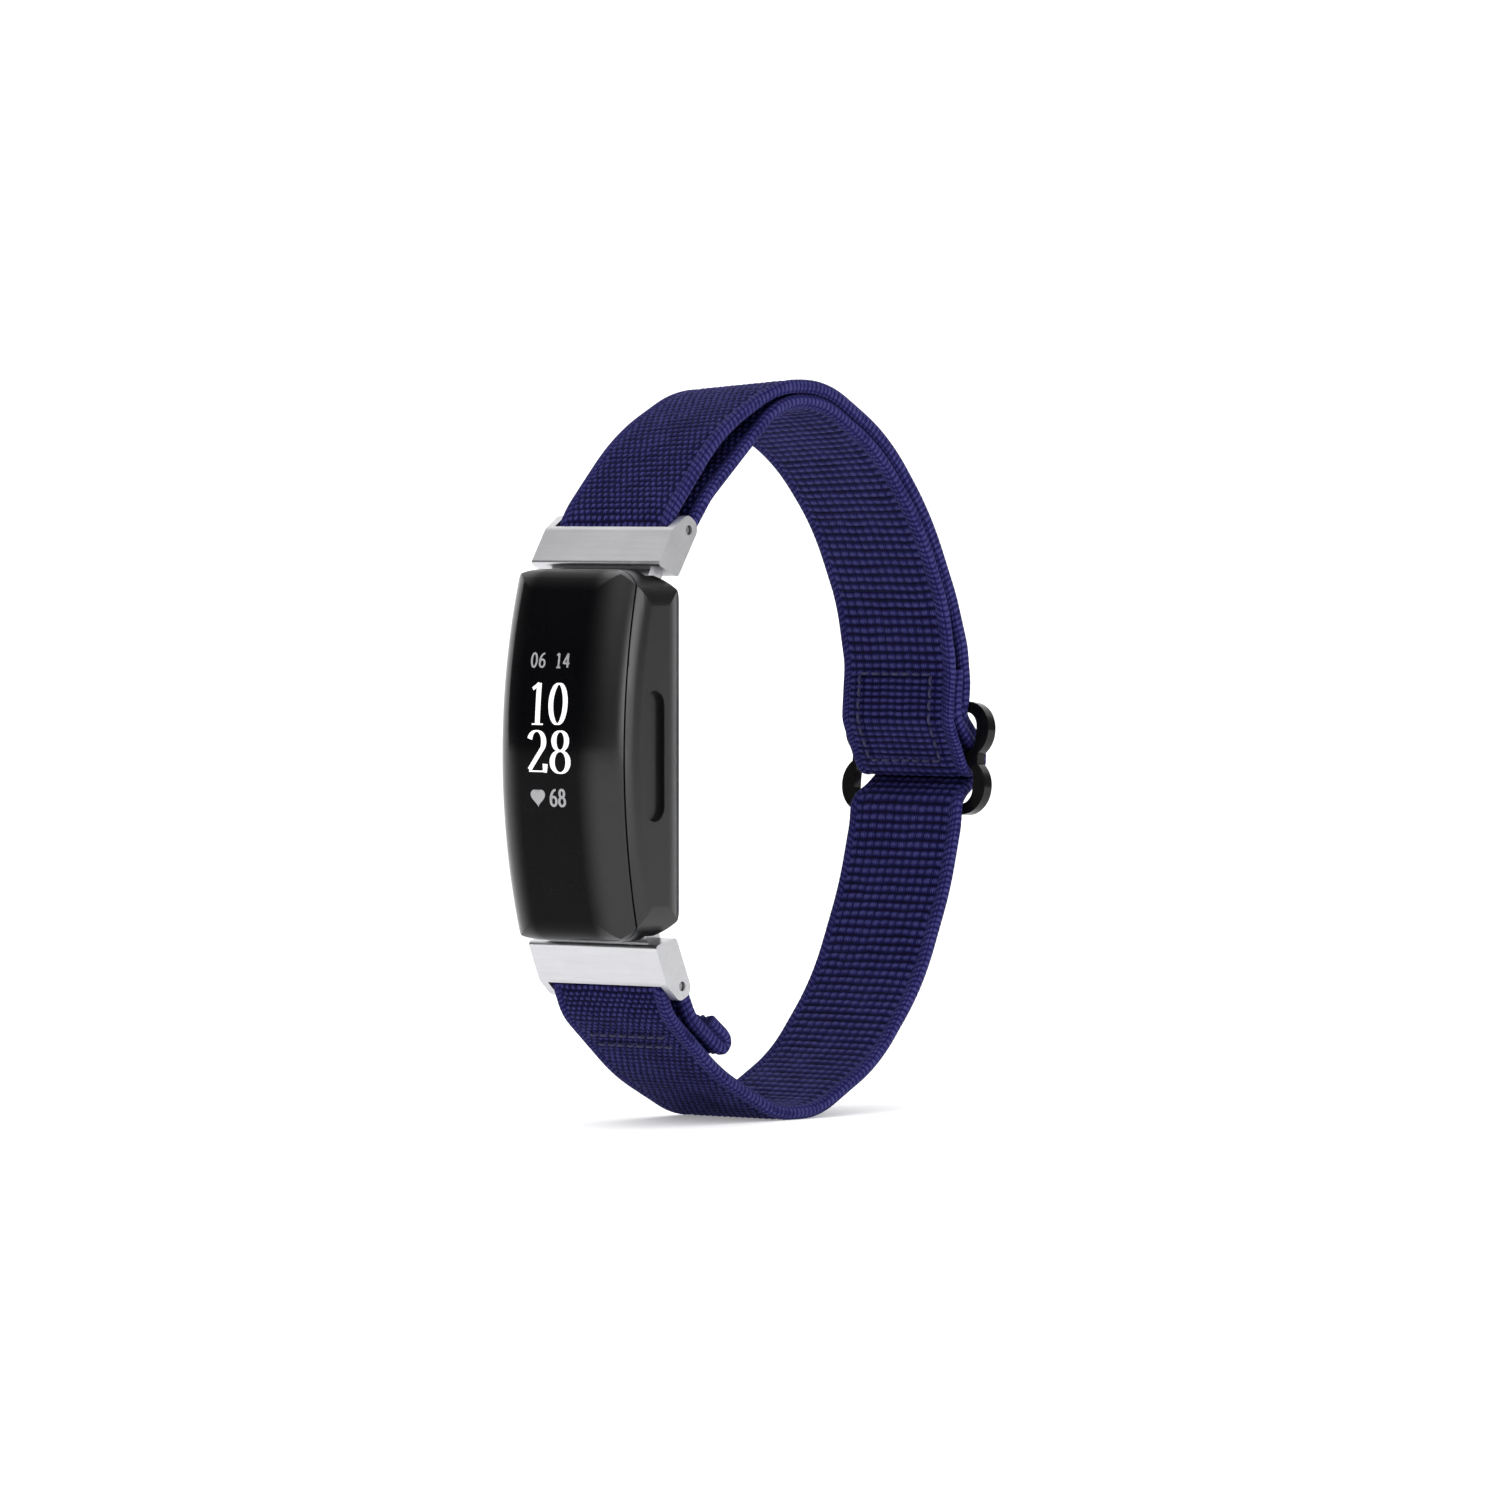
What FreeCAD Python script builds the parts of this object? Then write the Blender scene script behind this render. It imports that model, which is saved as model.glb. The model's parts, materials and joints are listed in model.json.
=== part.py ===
import FreeCAD, Part
import math
import os
import re

import Sketcher
from FreeCAD import Placement, Rotation, Vector

# A fitness tracker on an elastic webbing band.  Millimetres and degrees.
# X runs across the band, the display looks along -Y, +Z is up.  The origin is on the centre of
# the footprint, at the lowest point of the band.

DIMENSIONS = {
    # tracker
    "tracker_length": 37.0,
    "tracker_width": 16.8,
    "tracker_depth": 12.8,
    "tracker_y": -24.1,
    "tracker_z": 37.2,
    "front_arch": 63.0,
    "front_corner": 2.8,
    "back_corner": 7.8,
    "side_corner": 4.2,
    "face_corner": 3.6,
    "arch_spare": 3.0,
    "shell_wall": 1.1,
    "seam_depth": 2.3,
    "seam_bow": 2.5,
    "seam_gap": 0.16,
    "seal_width": 0.5,
    "cover_split": 4.6,
    "key_length": 13.0,
    "key_width": 3.0,
    "key_depth": 0.6,
    "electrode_thickness": 0.2,
    "sensor_width": 9.0,
    "sensor_length": 11.0,
    "sensor_z": 1.0,
    "panel_width": 11.4,
    "panel_length": 19.4,
    "panel_thickness": 0.8,
    "panel_y": -3.2,
    "panel_z": 2.8,
    "flex_width": 6.0,
    "board_width": 12.4,
    "board_length": 24.0,
    "board_thickness": 0.8,
    "board_y": -1.3,
    "chip_thickness": 0.7,
    "light_offset": 3.2,
    "light_size": 1.6,
    "light_height": 0.6,
    "detector_size": 2.6,
    "battery_width": 11.4,
    "battery_length": 15.6,
    "battery_thickness": 3.0,
    "battery_y": 0.8,
    "battery_z": 3.2,
    "carrier_wall": 0.5,
    "sensor_board_thickness": 0.6,
    "motor_radius": 1.55,
    "motor_case_length": 5.4,
    "motor_weight_length": 2.6,
    "motor_y": 1.0,
    "motor_z": -8.6,
    "contact_radius": 0.8,
    "contact_pitch": 2.6,
    "contact_z": -8.4,
    # connectors and their bars
    "release_y": 1.2,
    "release_z": 16.3,
    "upper_tilt": 33.7,
    "lower_tilt": 24.4,
    "pin_reach": 7.3,
    "connector_width": 16.8,
    "slot_width": 14.9,
    "barrel_width": 13.0,
    "barrel_radius": 1.25,
    "barrel_bore": 0.78,
    "scoop_radius": 2.15,
    "lug_width": 1.6,
    "bar_radius": 0.7,
    "bar_bore": 0.45,
    "tip_radius": 0.4,
    "release_tube_half": 4.3,
    "pin_tube_half": 7.3,
    "tip_engagement": 0.8,
    "pin_radius": 0.6,
    "pin_bore": 0.42,
    "pin_tip_radius": 0.38,
    "ear_hole_radius": 0.48,
    "spring_wire": 0.12,
    # webbing
    "webbing_width": 14.4,
    "webbing_thickness": 1.35,
    "ply_pitch": 1.5,
    "fold_thickness": 1.1,
    "wave_thickness": 1.2,
    "loop_reach": 11.4,
    "loop_gap": 0.15,
    "apex_z": 73.55,
    "nadir_z": 0.675,
    # slide buckle
    "buckle_y": 27.7,
    "buckle_z": 35.9,
    "buckle_lean": 6.0,
    "buckle_width": 19.0,
    "buckle_height": 11.7,
    "buckle_thickness": 1.2,
    "buckle_rail": 1.6,
    "buckle_bar": 1.1,
    "buckle_waist": 0.5,
    "buckle_slot_corner": 1.5,
}

doc = FreeCAD.newDocument("fitness_tracker_band")
sheet = doc.addObject("Spreadsheet::Sheet", "Sizes")
for row, (alias, number) in enumerate(DIMENSIONS.items(), start=1):
    sheet.set(f"A{row}", alias)
    sheet.set(f"B{row}", str(number))
    sheet.setAlias(f"B{row}", alias)
doc.recompute()

nodes = []


def size(alias):
    """The number in a cell of the sheet."""
    return float(sheet.get(alias))


def formula(text):
    """An expression in cell names, written for setExpression."""
    return re.sub(r"[a-z][a-z_]+", lambda word: "Sizes." + word.group(), text)


def bind(target, **formulas):
    for name, text in formulas.items():
        target.setExpression(name, formula(text))


def keep(target, name, place=None):
    """Label an object as a sub-part and put it in its place."""
    target.Label = name
    if place is not None:
        target.Placement = place
    nodes.append(target)
    return target


def place_at(y, z, turn=0.0, x=0.0):
    return Placement(Vector(x, y, z), Rotation(Vector(1, 0, 0), turn))


TRACKER = place_at(size("tracker_y"), size("tracker_z"))
BUCKLE = place_at(size("buckle_y"), size("buckle_z"), -size("buckle_lean"))
UPPER = TRACKER * place_at(size("release_y"), size("release_z"), -size("upper_tilt"))
LOWER = TRACKER * place_at(size("release_y"), -size("release_z"), size("lower_tilt"))
LOWER = LOWER * Placement(Vector(), Rotation(Vector(0, 1, 0), 180))
ALONG_X = Rotation(Vector(0, 1, 0), 90)
ARCH_SWEEP = 60.0
# Chips on the main board: x, z, width and height.
CHIPS = [(0, 5.2, "6", "6"), (-3.4, -2.4, "3.4", "4"), (3.2, -2.2, "4", "2.6")]


# ---------------------------------------------------------------- outlines


def rounded(corners, closed=True):
    """Lines and tangent arcs through (y, z, radius) corners, as pieces of an outline."""
    count = len(corners)
    inner = range(count) if closed else range(1, count - 1)
    starts, ends, arcs = {}, {}, {}
    for index in inner:
        here = Vector(*corners[index][:2], 0)
        before = (here - Vector(*corners[index - 1][:2], 0)).normalize()
        after = (Vector(*corners[(index + 1) % count][:2], 0) - here).normalize()
        turn = before.cross(after).z
        half = before.getAngle(after) / 2
        radius = corners[index][2]
        reach = radius * math.tan(half)
        starts[index] = here - before * reach
        ends[index] = here + after * reach
        side = 1 if turn > 0 else -1
        centre = starts[index] + Vector(-before.y, before.x, 0) * radius * side
        arcs[index] = (centre, radius, side)
    pieces = []
    for index in range(count if closed else count - 1):
        following = (index + 1) % count
        begin = ends.get(index, Vector(*corners[index][:2], 0))
        finish = starts.get(following, Vector(*corners[following][:2], 0))
        run = Vector(*corners[following][:2], 0) - Vector(*corners[index][:2], 0)
        if (finish - begin).dot(run) < -1e-5:
            raise ValueError(f"the roundings of corners {index} and {following} overlap")
        if begin.distanceToPoint(finish) > 1e-5:
            pieces.append(("line", begin, finish))
        if following in arcs and arcs[following][1] > 1e-6:
            pieces.append(("arc", starts[following], ends[following], *arcs[following]))
    return pieces


def arc_through(start, end, centre, radius):
    middle = (start + end) * 0.5 - centre
    return Part.Arc(start, centre + middle.normalize() * radius, end)


def curves(pieces, shift=0.0):
    """Sketch curves of the pieces, moved sideways by shift to their left."""
    made = []
    for kind, start, end, *arc in pieces:
        if kind == "line":
            along = (end - start).normalize()
            side = Vector(-along.y, along.x, 0) * shift
            made.append(Part.LineSegment(start + side, end + side))
        else:
            centre, radius, side = arc
            moved = radius - shift * side
            first = centre + (start - centre).normalize() * moved
            last = centre + (end - centre).normalize() * moved
            made.append(arc_through(first, last, centre, moved))
    return made


def band_outline(pieces, thickness):
    """The closed outline of a strip of the given thickness along the pieces."""
    left = curves(pieces, thickness / 2)
    right = curves(pieces, -thickness / 2)
    caps = [
        Part.LineSegment(left[0].StartPoint, right[0].StartPoint),
        Part.LineSegment(left[-1].EndPoint, right[-1].EndPoint),
    ]
    return left + right + caps


# ---------------------------------------------------------------- features


def new_body(name):
    return doc.addObject("PartDesign::Body", name)


def new_sketch(body, plane, geometry, offset=0.0):
    """A sketch on one of the body's origin planes: YZ_Plane, XZ_Plane or XY_Plane."""
    target = body.newObject("Sketcher::SketchObject", body.Name + "_outline")
    support = next(part for part in body.Origin.OriginFeatures if part.Role == plane)
    target.AttachmentSupport = [(support, "")]
    target.MapMode = "FlatFace"
    target.AttachmentOffset = Placement(Vector(0, 0, offset), Rotation())
    target.addGeometry(geometry, False)
    return target


def pad(body, sketch, length):
    """Material on both sides of the sketch, its whole thickness given by a formula."""
    feature = body.newObject("PartDesign::Pad", body.Name + "_pad")
    feature.Profile = sketch
    feature.SideType = "Symmetric"
    bind(feature, Length=length)
    body.Tip = feature
    return feature


def prism(name, geometry, length, plane="YZ_Plane"):
    body = new_body(name)
    pad(body, new_sketch(body, plane, geometry), length)
    return body


def box(name, place, length, width, height):
    """A box centred on its placement; X, Y and Z sizes are formulas."""
    target = doc.addObject("Part::Box", name)
    bind(target, Length=length, Width=width, Height=height)
    doc.recompute()
    half = Vector(target.Length.Value, target.Width.Value, target.Height.Value) * -0.5
    target.Placement = place * Placement(half, Rotation())
    return target


def rod(name, place, radius, length, start="0"):
    """A cylinder along X that begins at the start formula; a centred one starts at -length / 2."""
    target = doc.addObject("Part::Cylinder", name)
    bind(target, Radius=radius, Height=length)
    target.Placement = place * Placement(Vector(), ALONG_X)
    begin = formula(start)
    turned = target.Placement.Base
    axis = place.Rotation.multVec(Vector(1, 0, 0))
    target.setExpression(
        ".Placement.Base",
        f"vector({turned.x}; {turned.y}; {turned.z}) + ({begin}) * vector({axis.x}; {axis.y}; {axis.z})",
    )
    return target


def boolean(kind, name, base, tool):
    target = doc.addObject("Part::" + kind, name)
    target.Base = base
    target.Tool = tool
    return target


def cut(name, base, tool):
    return boolean("Cut", name, base, tool)


def common(name, base, tool):
    return boolean("Common", name, base, tool)


def joined(name, shapes):
    target = doc.addObject("Part::MultiFuse", name)
    target.Shapes = shapes
    return target


def group(name, shapes):
    """Several separate solids in one node."""
    target = doc.addObject("Part::Compound", name)
    target.Links = shapes
    return target


# ---------------------------------------------------------------- tracker shell


def side_profile(inset):
    """The shell seen from the side: arched front, square ends, wide rounding at the back."""
    half = size("tracker_length") / 2 - inset
    arch = size("front_arch") - inset
    corner = size("front_corner") - inset
    back = size("tracker_depth") / 2 - inset
    round_back = size("back_corner") - inset
    arch_y = size("front_arch") - size("tracker_depth") / 2
    corner_z = half - corner
    corner_y = arch_y - math.sqrt((arch - corner) ** 2 - corner_z**2)
    arch_centre = Vector(arch_y, 0, 0)
    outline = []
    ends = {}
    for sign in (1, -1):
        centre = Vector(corner_y, corner_z * sign, 0)
        touch = arch_centre + (centre - arch_centre).normalize() * arch
        top = Vector(corner_y, half * sign, 0)
        outline.append(arc_through(touch, top, centre, corner))
        shoulder = Vector(back - round_back, half * sign, 0)
        outline.append(Part.LineSegment(top, shoulder))
        back_centre = Vector(back - round_back, (half - round_back) * sign, 0)
        heel = Vector(back, (half - round_back) * sign, 0)
        outline.append(arc_through(shoulder, heel, back_centre, round_back))
        ends[sign] = (touch, heel)
    outline.append(Part.LineSegment(ends[1][1], ends[-1][1]))
    outline.append(arc_through(ends[1][0], ends[-1][0], arch_centre, arch))
    return outline


def cross_outline(inset):
    """The shell seen from its end, in x and y: square at the front, rounded at the back."""
    half_x = size("tracker_width") / 2 - inset
    half_y = size("tracker_depth") / 2 - inset
    radius = size("side_corner") - inset
    corners = [
        (half_x, half_y, radius),
        (-half_x, half_y, radius),
        (-half_x, -half_y, 0),
        (half_x, -half_y, 0),
    ]
    return curves(rounded(corners))


def face_outline(inset):
    """The shell seen from the front, in x and z: a rectangle with rounded corners."""
    half_x = size("tracker_width") / 2 - inset
    half_z = size("tracker_length") / 2 - inset
    radius = size("face_corner") - inset
    corners = [
        (half_x, half_z, radius),
        (-half_x, half_z, radius),
        (-half_x, -half_z, radius),
        (half_x, -half_z, radius),
    ]
    return curves(rounded(corners))


def arched_form(name, inset):
    """The rounded front and the flanks carried round the front arch, so the rim follows it."""
    half_x = size("tracker_width") / 2 - inset
    front = size("tracker_depth") / 2 - inset
    spare = size("tracker_depth") / 2 + size("arch_spare")
    radius = size("side_corner") - inset
    corners = [
        (half_x, spare, 0),
        (-half_x, spare, 0),
        (-half_x, -front, radius),
        (half_x, -front, radius),
    ]
    outline = doc.addObject("Sketcher::SketchObject", name + "_outline")
    outline.addGeometry(curves(rounded(corners)), False)
    form = doc.addObject("Part::Revolution", name)
    form.Source = outline
    form.Axis = Vector(1, 0, 0)
    form.Base = Vector(0, size("front_arch") - size("tracker_depth") / 2, 0)
    form.Angle = ARCH_SWEEP
    form.Symmetric = True
    form.Solid = True
    return form


def envelope(name, inset):
    """The tracker's outer form, shrunk all round by inset."""
    side = prism(name + "_side", side_profile(inset), "tracker_width")
    section = prism(name + "_section", cross_outline(inset), "tracker_length", "XY_Plane")
    face = prism(name + "_face", face_outline(inset), "2 * tracker_depth", "XZ_Plane")
    form = common(name + "_block", common(name + "_sides", side, section), face)
    return common(name, form, arched_form(name + "_arch", inset))


def seam_zone(name, shift):
    """Everything in front of the bowed seam line, moved back by shift."""
    half = size("tracker_length") / 2
    middle_y = size("seam_depth") - size("tracker_depth") / 2 + shift
    end_y = middle_y + size("seam_bow")
    front = -size("tracker_depth")
    geometry = [
        Part.Arc(Vector(end_y, -half, 0), Vector(middle_y, 0, 0), Vector(end_y, half, 0)),
        Part.LineSegment(Vector(end_y, half, 0), Vector(front, half, 0)),
        Part.LineSegment(Vector(front, half, 0), Vector(front, -half, 0)),
        Part.LineSegment(Vector(front, -half, 0), Vector(end_y, -half, 0)),
    ]
    return prism(name, geometry, "tracker_width")


def back_zone(name, shift):
    """Everything behind the flat split between the housing and the rear cover."""
    middle = size("cover_split") + size("tracker_depth") / 2 + shift
    return box(name, place_at(middle, 0.0), "tracker_width", "tracker_depth", "tracker_length")


def shell(name):
    """A hollow shell of the tracker's form; each cover uses one of its own."""
    outer = envelope(name + "_outer", 0.0)
    inner = envelope(name + "_inner", size("shell_wall"))
    return cut(name, outer, inner)


def key_groove(name, sign):
    """A straight groove with round ends, sunk into one flank."""
    width = size("key_width") / 2
    reach = size("key_length") / 2
    corners = [
        (width, reach, width),
        (-width, reach, width),
        (-width, -reach, width),
        (width, -reach, width),
    ]
    groove = prism(name, curves(rounded(corners)), "2 * key_depth")
    groove.Placement = Placement(Vector(sign * size("tracker_width") / 2, 0, 0), Rotation())
    return groove


def release_spaces(name):
    """The room at both ends in which the connectors' barrels turn, and the holes for the bars."""
    tools = []
    for side, sign in (("upper", 1), ("lower", -1)):
        place = place_at(size("release_y"), sign * size("release_z"))
        span = "tracker_width - 2 * lug_width"
        tools.append(
            rod(f"{name}_{side}_space", place, "barrel_radius + 0.25", span, "lug_width - tracker_width / 2")
        )
        hole_length = span + " + 2 * tip_engagement + 0.2"
        tools.append(
            rod(f"{name}_{side}_holes", place, "tip_radius + 0.05", hole_length, "-(" + hole_length + ") / 2")
        )
        mouth = place * place_at(1.6, sign * 2.4)
        tools.append(box(f"{name}_{side}_mouth", mouth, span, "4.8", "4.6"))
    return joined(name, tools)


def add_lens():
    front = seam_zone("lens_zone", -size("seam_gap") / 2)
    keep(common("front_lens", shell("lens_shell"), front), "front_lens", TRACKER)


def add_seal():
    """A thin black ring in the seam, standing just inside the outer surface."""
    ring = cut("seal_ring", envelope("seal_outer", 0.2), envelope("seal_inner", 0.2 + size("seal_width")))
    thin = cut(
        "seal_zone",
        seam_zone("seal_back", size("seam_gap") / 2 - 0.01),
        seam_zone("seal_front", 0.01 - size("seam_gap") / 2),
    )
    keep(common("lens_seal", ring, thin), "lens_seal", TRACKER)


def add_housing():
    """The main housing, open to the front and the back, with the connectors' spaces at its ends."""
    body = cut("housing_open_front", shell("housing_shell"), seam_zone("housing_seam", size("seam_gap") / 2))
    body = cut("housing_open_back", body, back_zone("housing_back", 0.0))
    lugs = []
    for side, sign in (("upper", 1), ("lower", -1)):
        place = place_at(size("release_y") + 0.2, sign * (size("release_z") - 0.5))
        block = box(f"{side}_lug_block", place, "tracker_width", "5.6", "5.4")
        lugs.append(block)
    lug_form = common("lug_form", joined("lug_blocks", lugs), envelope("lug_limit", 0.0))
    body = joined("housing_with_lugs", [body, lug_form])
    tools = [release_spaces("housing_spaces"), key_groove("left_groove", -1), key_groove("right_groove", 1)]
    keep(cut("main_housing", body, joined("housing_tools", tools)), "main_housing", TRACKER)


def add_rear_cover():
    """The cover against the skin, with the sensor window and the charging contacts in it."""
    back = back_zone("cover_zone", 0.05)
    cover = common("cover_blank", shell("cover_shell"), back)
    place = place_at(size("tracker_depth") / 2, size("sensor_z"))
    opening = box("sensor_opening", place, "sensor_width + 0.1", "4", "sensor_length + 0.1")
    tools = [opening]
    for index in (-1, 0, 1):
        at = place_at(size("tracker_depth") / 2, size("contact_z"), x=index * size("contact_pitch"))
        hole = doc.addObject("Part::Cylinder", f"contact_hole_{index + 2}")
        bind(hole, Radius="contact_radius + 0.03", Height="4")
        hole.Placement = at * Placement(Vector(0, 2, 0), Rotation(Vector(1, 0, 0), 90))
        tools.append(hole)
    keep(cut("rear_cover", cover, joined("cover_tools", tools)), "rear_cover", TRACKER)


# ---------------------------------------------------------------- inside the tracker


def inner_box(name, y, z, length, width, height, x=0.0):
    return keep(box(name, TRACKER * place_at(y, z, x=x), length, width, height), name)


def add_display():
    panel_y = size("panel_y")
    panel_z = size("panel_z")
    inner_box("display_panel", panel_y, panel_z, "panel_width", "panel_thickness", "panel_length")
    flex_z = panel_z - size("panel_length") / 2 - 0.25
    flex_y = (panel_y - size("panel_thickness") / 2 + size("board_y") - size("board_thickness") / 2) / 2
    depth = "board_y - board_thickness / 2 - panel_y + panel_thickness / 2"
    inner_box("display_flex", flex_y, flex_z, "flex_width", depth, "0.2")


def add_boards():
    board_y = size("board_y")
    inner_box("main_board", board_y, 0.0, "board_width", "board_thickness", "board_length")
    chips = []
    chip_y = board_y - size("board_thickness") / 2 - size("chip_thickness") / 2
    for index, (x, z, chip_width, chip_height) in enumerate(CHIPS):
        at = TRACKER * place_at(chip_y, z, x=x)
        chips.append(box(f"chip_{index}", at, chip_width, "chip_thickness", chip_height))
    keep(group("board_chips", chips), "board_chips")
    sensor_y = size("tracker_depth") / 2 - size("shell_wall") - 1.3
    thickness = "sensor_board_thickness"
    inner_box("sensor_board", sensor_y, size("sensor_z"), "sensor_width", thickness, "sensor_length")
    top = sensor_y + size("sensor_board_thickness") / 2 + 0.3
    leds = []
    for side, sign in (("lower", -1), ("upper", 1)):
        at = TRACKER * place_at(top, size("sensor_z") + sign * size("light_offset"))
        leds.append(box(side + "_light", at, "light_size", "light_height", "light_size"))
    keep(group("pulse_lights", leds), "pulse_lights")
    inner_box("light_detector", top, size("sensor_z"), "detector_size", "light_height", "detector_size")
    window_y = size("tracker_depth") / 2 - size("shell_wall") / 2
    inner_box("sensor_window", window_y, size("sensor_z"), "sensor_width", "shell_wall", "sensor_length")


def add_battery():
    y = size("battery_y")
    z = size("battery_z")
    inner_box("battery", y, z, "battery_width", "battery_thickness", "battery_length")
    place = TRACKER * place_at(y, z)
    outer = box(
        "carrier_outer",
        place,
        "battery_width + 0.1 + 2 * carrier_wall",
        "battery_thickness",
        "battery_length + 0.1 + 2 * carrier_wall",
    )
    room = box("carrier_room", place, "battery_width + 0.1", "battery_thickness + 2", "battery_length + 0.1")
    keep(cut("inner_carrier", outer, room), "inner_carrier")


def add_motor():
    """A bar motor: its case, and an eccentric half-round weight on the shaft."""
    place = TRACKER * place_at(size("motor_y"), size("motor_z"))
    case = rod("motor_can", place, "motor_radius", "motor_case_length", "-motor_case_length")
    bore = rod("motor_bore", place, "0.35", "1.6", "-1.5")
    keep(cut("vibration_motor_case", case, bore), "vibration_motor_case")
    shaft = rod("weight_shaft", place, "0.3", "motor_weight_length + 1.6", "-1.4")
    disc = rod("weight_disc", place, "motor_radius - 0.1", "motor_weight_length", "0.2")
    half_y = place * place_at(-1.0, 0.0, x=1.5)
    upper_half = box("weight_half", half_y, "motor_weight_length + 1", "2.2", "4")
    weight = common("weight_form", disc, upper_half)
    keep(joined("vibration_weight", [shaft, weight]), "vibration_weight")


def add_contacts():
    pads = []
    for index in (-1, 0, 1):
        at = TRACKER * place_at(size("tracker_depth") / 2, size("contact_z"), x=index * size("contact_pitch"))
        pad_rod = doc.addObject("Part::Cylinder", f"contact_pad_{index + 2}")
        bind(pad_rod, Radius="contact_radius", Height="1.4")
        pad_rod.Placement = at * Placement(Vector(0, -0.1, 0), Rotation(Vector(1, 0, 0), 90))
        pads.append(pad_rod)
    keep(group("charging_contacts", pads), "charging_contacts")


def add_touch_electrodes():
    """The flank keys have no travel: a thin electrode lies behind each groove."""
    inside = size("tracker_width") / 2 - size("shell_wall") - size("electrode_thickness") / 2 - 0.02
    for side, sign in (("left", -1), ("right", 1)):
        name = "touch_electrode_" + side
        inner_box(name, 0.0, 0.0, "electrode_thickness", "key_width", "key_length - 2", x=sign * inside)


# ---------------------------------------------------------------- connectors and bars


def hollow_rod(name, place, radius, bore, length):
    centred = f"-({length}) / 2"
    tube = rod(name + "_outer", place, radius, length, centred)
    hole = rod(name + "_bore", place, bore, length, centred)
    return keep(cut(name, tube, hole), name)


def coil(name, place, radius, length, turns):
    """A compression spring of round wire along X, centred on its placement."""
    wire = size("spring_wire")
    helix = Part.makeHelix(length / turns, length, radius)
    start = Part.Wire(Part.makeCircle(wire, Vector(radius, 0, 0), Vector(0, 1, 0)))
    target = doc.addObject("Part::Feature", name)
    target.Shape = Part.Wire(helix).makePipeShell([start], True, True)
    lead = Placement(Vector(-length / 2, 0, 0), ALONG_X)
    return keep(target, name, place * lead)


def add_bar(prefix, place, tip_names, radii, half_length, engagement):
    """A telescopic spring bar: a tube, a spring in it, and a shouldered tip at each end."""
    outer, bore, tip = radii
    hollow_rod(prefix + "_tube", place, outer, bore, f"2 * ({half_length})")
    length = 2 * size(half_length) - 6.4
    turns = round(length / (4.5 * size("spring_wire")))
    coil(prefix + "_spring", place, size(bore) - 0.03 - size("spring_wire"), length, turns)
    for tip_name, sign in zip(tip_names, (-1, 1)):
        shank_start = f"{half_length} - 3" if sign > 0 else f"-{half_length}"
        shank = rod(tip_name + "_shank", place, bore + " - 0.02", "3", shank_start)
        reach = f"{engagement} + 0.001"
        point_start = f"{half_length} - 0.001" if sign > 0 else f"-{half_length} - {engagement}"
        point = rod(tip_name + "_point", place, tip, reach, point_start)
        yield tip_name, joined(tip_name + "_form", [shank, point])


def add_connector(prefix, place):
    """A metal end piece with its quick-release bar and the bar that holds the webbing."""
    reach = size("pin_reach")
    corners = [
        (-2.05, 1.85, 0.4),
        (-2.1, 6.1, 0.9),
        (-1.0, reach + 1.25, 0.9),
        (1.2, reach + 1.25, 1.1),
        (1.2, 2.45, 0.5),
    ]
    plate = prism(prefix + "_plate", curves(rounded(corners)), "connector_width")
    plate.Placement = place
    pin_place = place * place_at(0.0, reach)
    centred = "-slot_width / 2"
    scoop = rod(prefix + "_scoop", pin_place, "scoop_radius", "slot_width", centred)
    slot = box(prefix + "_slot", pin_place * place_at(0.0, 2.0), "slot_width", "6", "4")
    through = ("connector_width + 1", "-connector_width / 2 - 0.5")
    ear_holes = rod(prefix + "_ear_holes", pin_place, "ear_hole_radius", *through)
    barrel = rod(prefix + "_barrel", place, "barrel_radius", "barrel_width", "-barrel_width / 2")
    neck = box(prefix + "_neck", place * place_at(0.05, 1.5), "barrel_width", "1.9", "3")
    bore = rod(prefix + "_bore", place, "barrel_bore", "barrel_width + 1", "-barrel_width / 2 - 0.5")
    window = box(prefix + "_knob_window", place * place_at(1.2, 0.0, x=5.35), "2.1", "2.4", "0.9")
    form = cut(prefix + "_form", plate, joined(prefix + "_cutters", [scoop, slot, ear_holes]))
    form = joined(prefix + "_blank", [form, barrel, neck])
    tools = joined(prefix + "_bores", [bore, window])
    keep(cut(prefix + "_connector", form, tools), prefix + "_connector")

    release = prefix + "_release"
    radii = ("bar_radius", "bar_bore", "tip_radius")
    tips = (release + "_fixed_tip", release + "_latch")
    for name, tip in add_bar(release + "_bar", place, tips, radii, "release_tube_half", "3.3"):
        if name.endswith("_latch"):
            knob = box(name + "_knob", place * place_at(0.85, 0.0, x=5.75), "0.7", "1.1", "0.7")
            tip = joined(name + "_with_knob", [tip, knob])
        keep(tip, name)
    pin = prefix + "_pin"
    radii = ("pin_radius", "pin_bore", "pin_tip_radius")
    tips = (pin + "_tip_left", pin + "_tip_right")
    for name, tip in add_bar(pin, pin_place, tips, radii, "pin_tube_half", "0.8"):
        keep(tip, name)


# ---------------------------------------------------------------- webbing


def on_back(along, out):
    """A point by the slide buckle: along the band, upwards, and out from the buckle's plane."""
    lean = math.radians(size("buckle_lean"))
    y = size("buckle_y") + along * math.sin(lean) + out * math.cos(lean)
    z = size("buckle_z") + along * math.cos(lean) - out * math.sin(lean)
    return y, z


def by_upper_pin(along, front):
    """A point by the upper pin: along the connector, and towards its front face."""
    point = UPPER.multVec(Vector(0, -front, size("pin_reach") + along))
    return point.y, point.z


def by_lower_pin(along, front):
    point = LOWER.multVec(Vector(0, -front, size("pin_reach") + along))
    return point.y, point.z


def wrap(frame, radius, first, last, count):
    """Corners whose rounding is one arc about the frame's origin, between two normals' angles."""
    step = (last - first) / count
    reach = radius / math.cos(math.radians(step / 2))
    corners = []
    for index in range(count):
        angle = math.radians(first + step * (index + 0.5))
        corners.append((*frame(reach * math.cos(angle), reach * math.sin(angle)), radius))
    return corners


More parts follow.
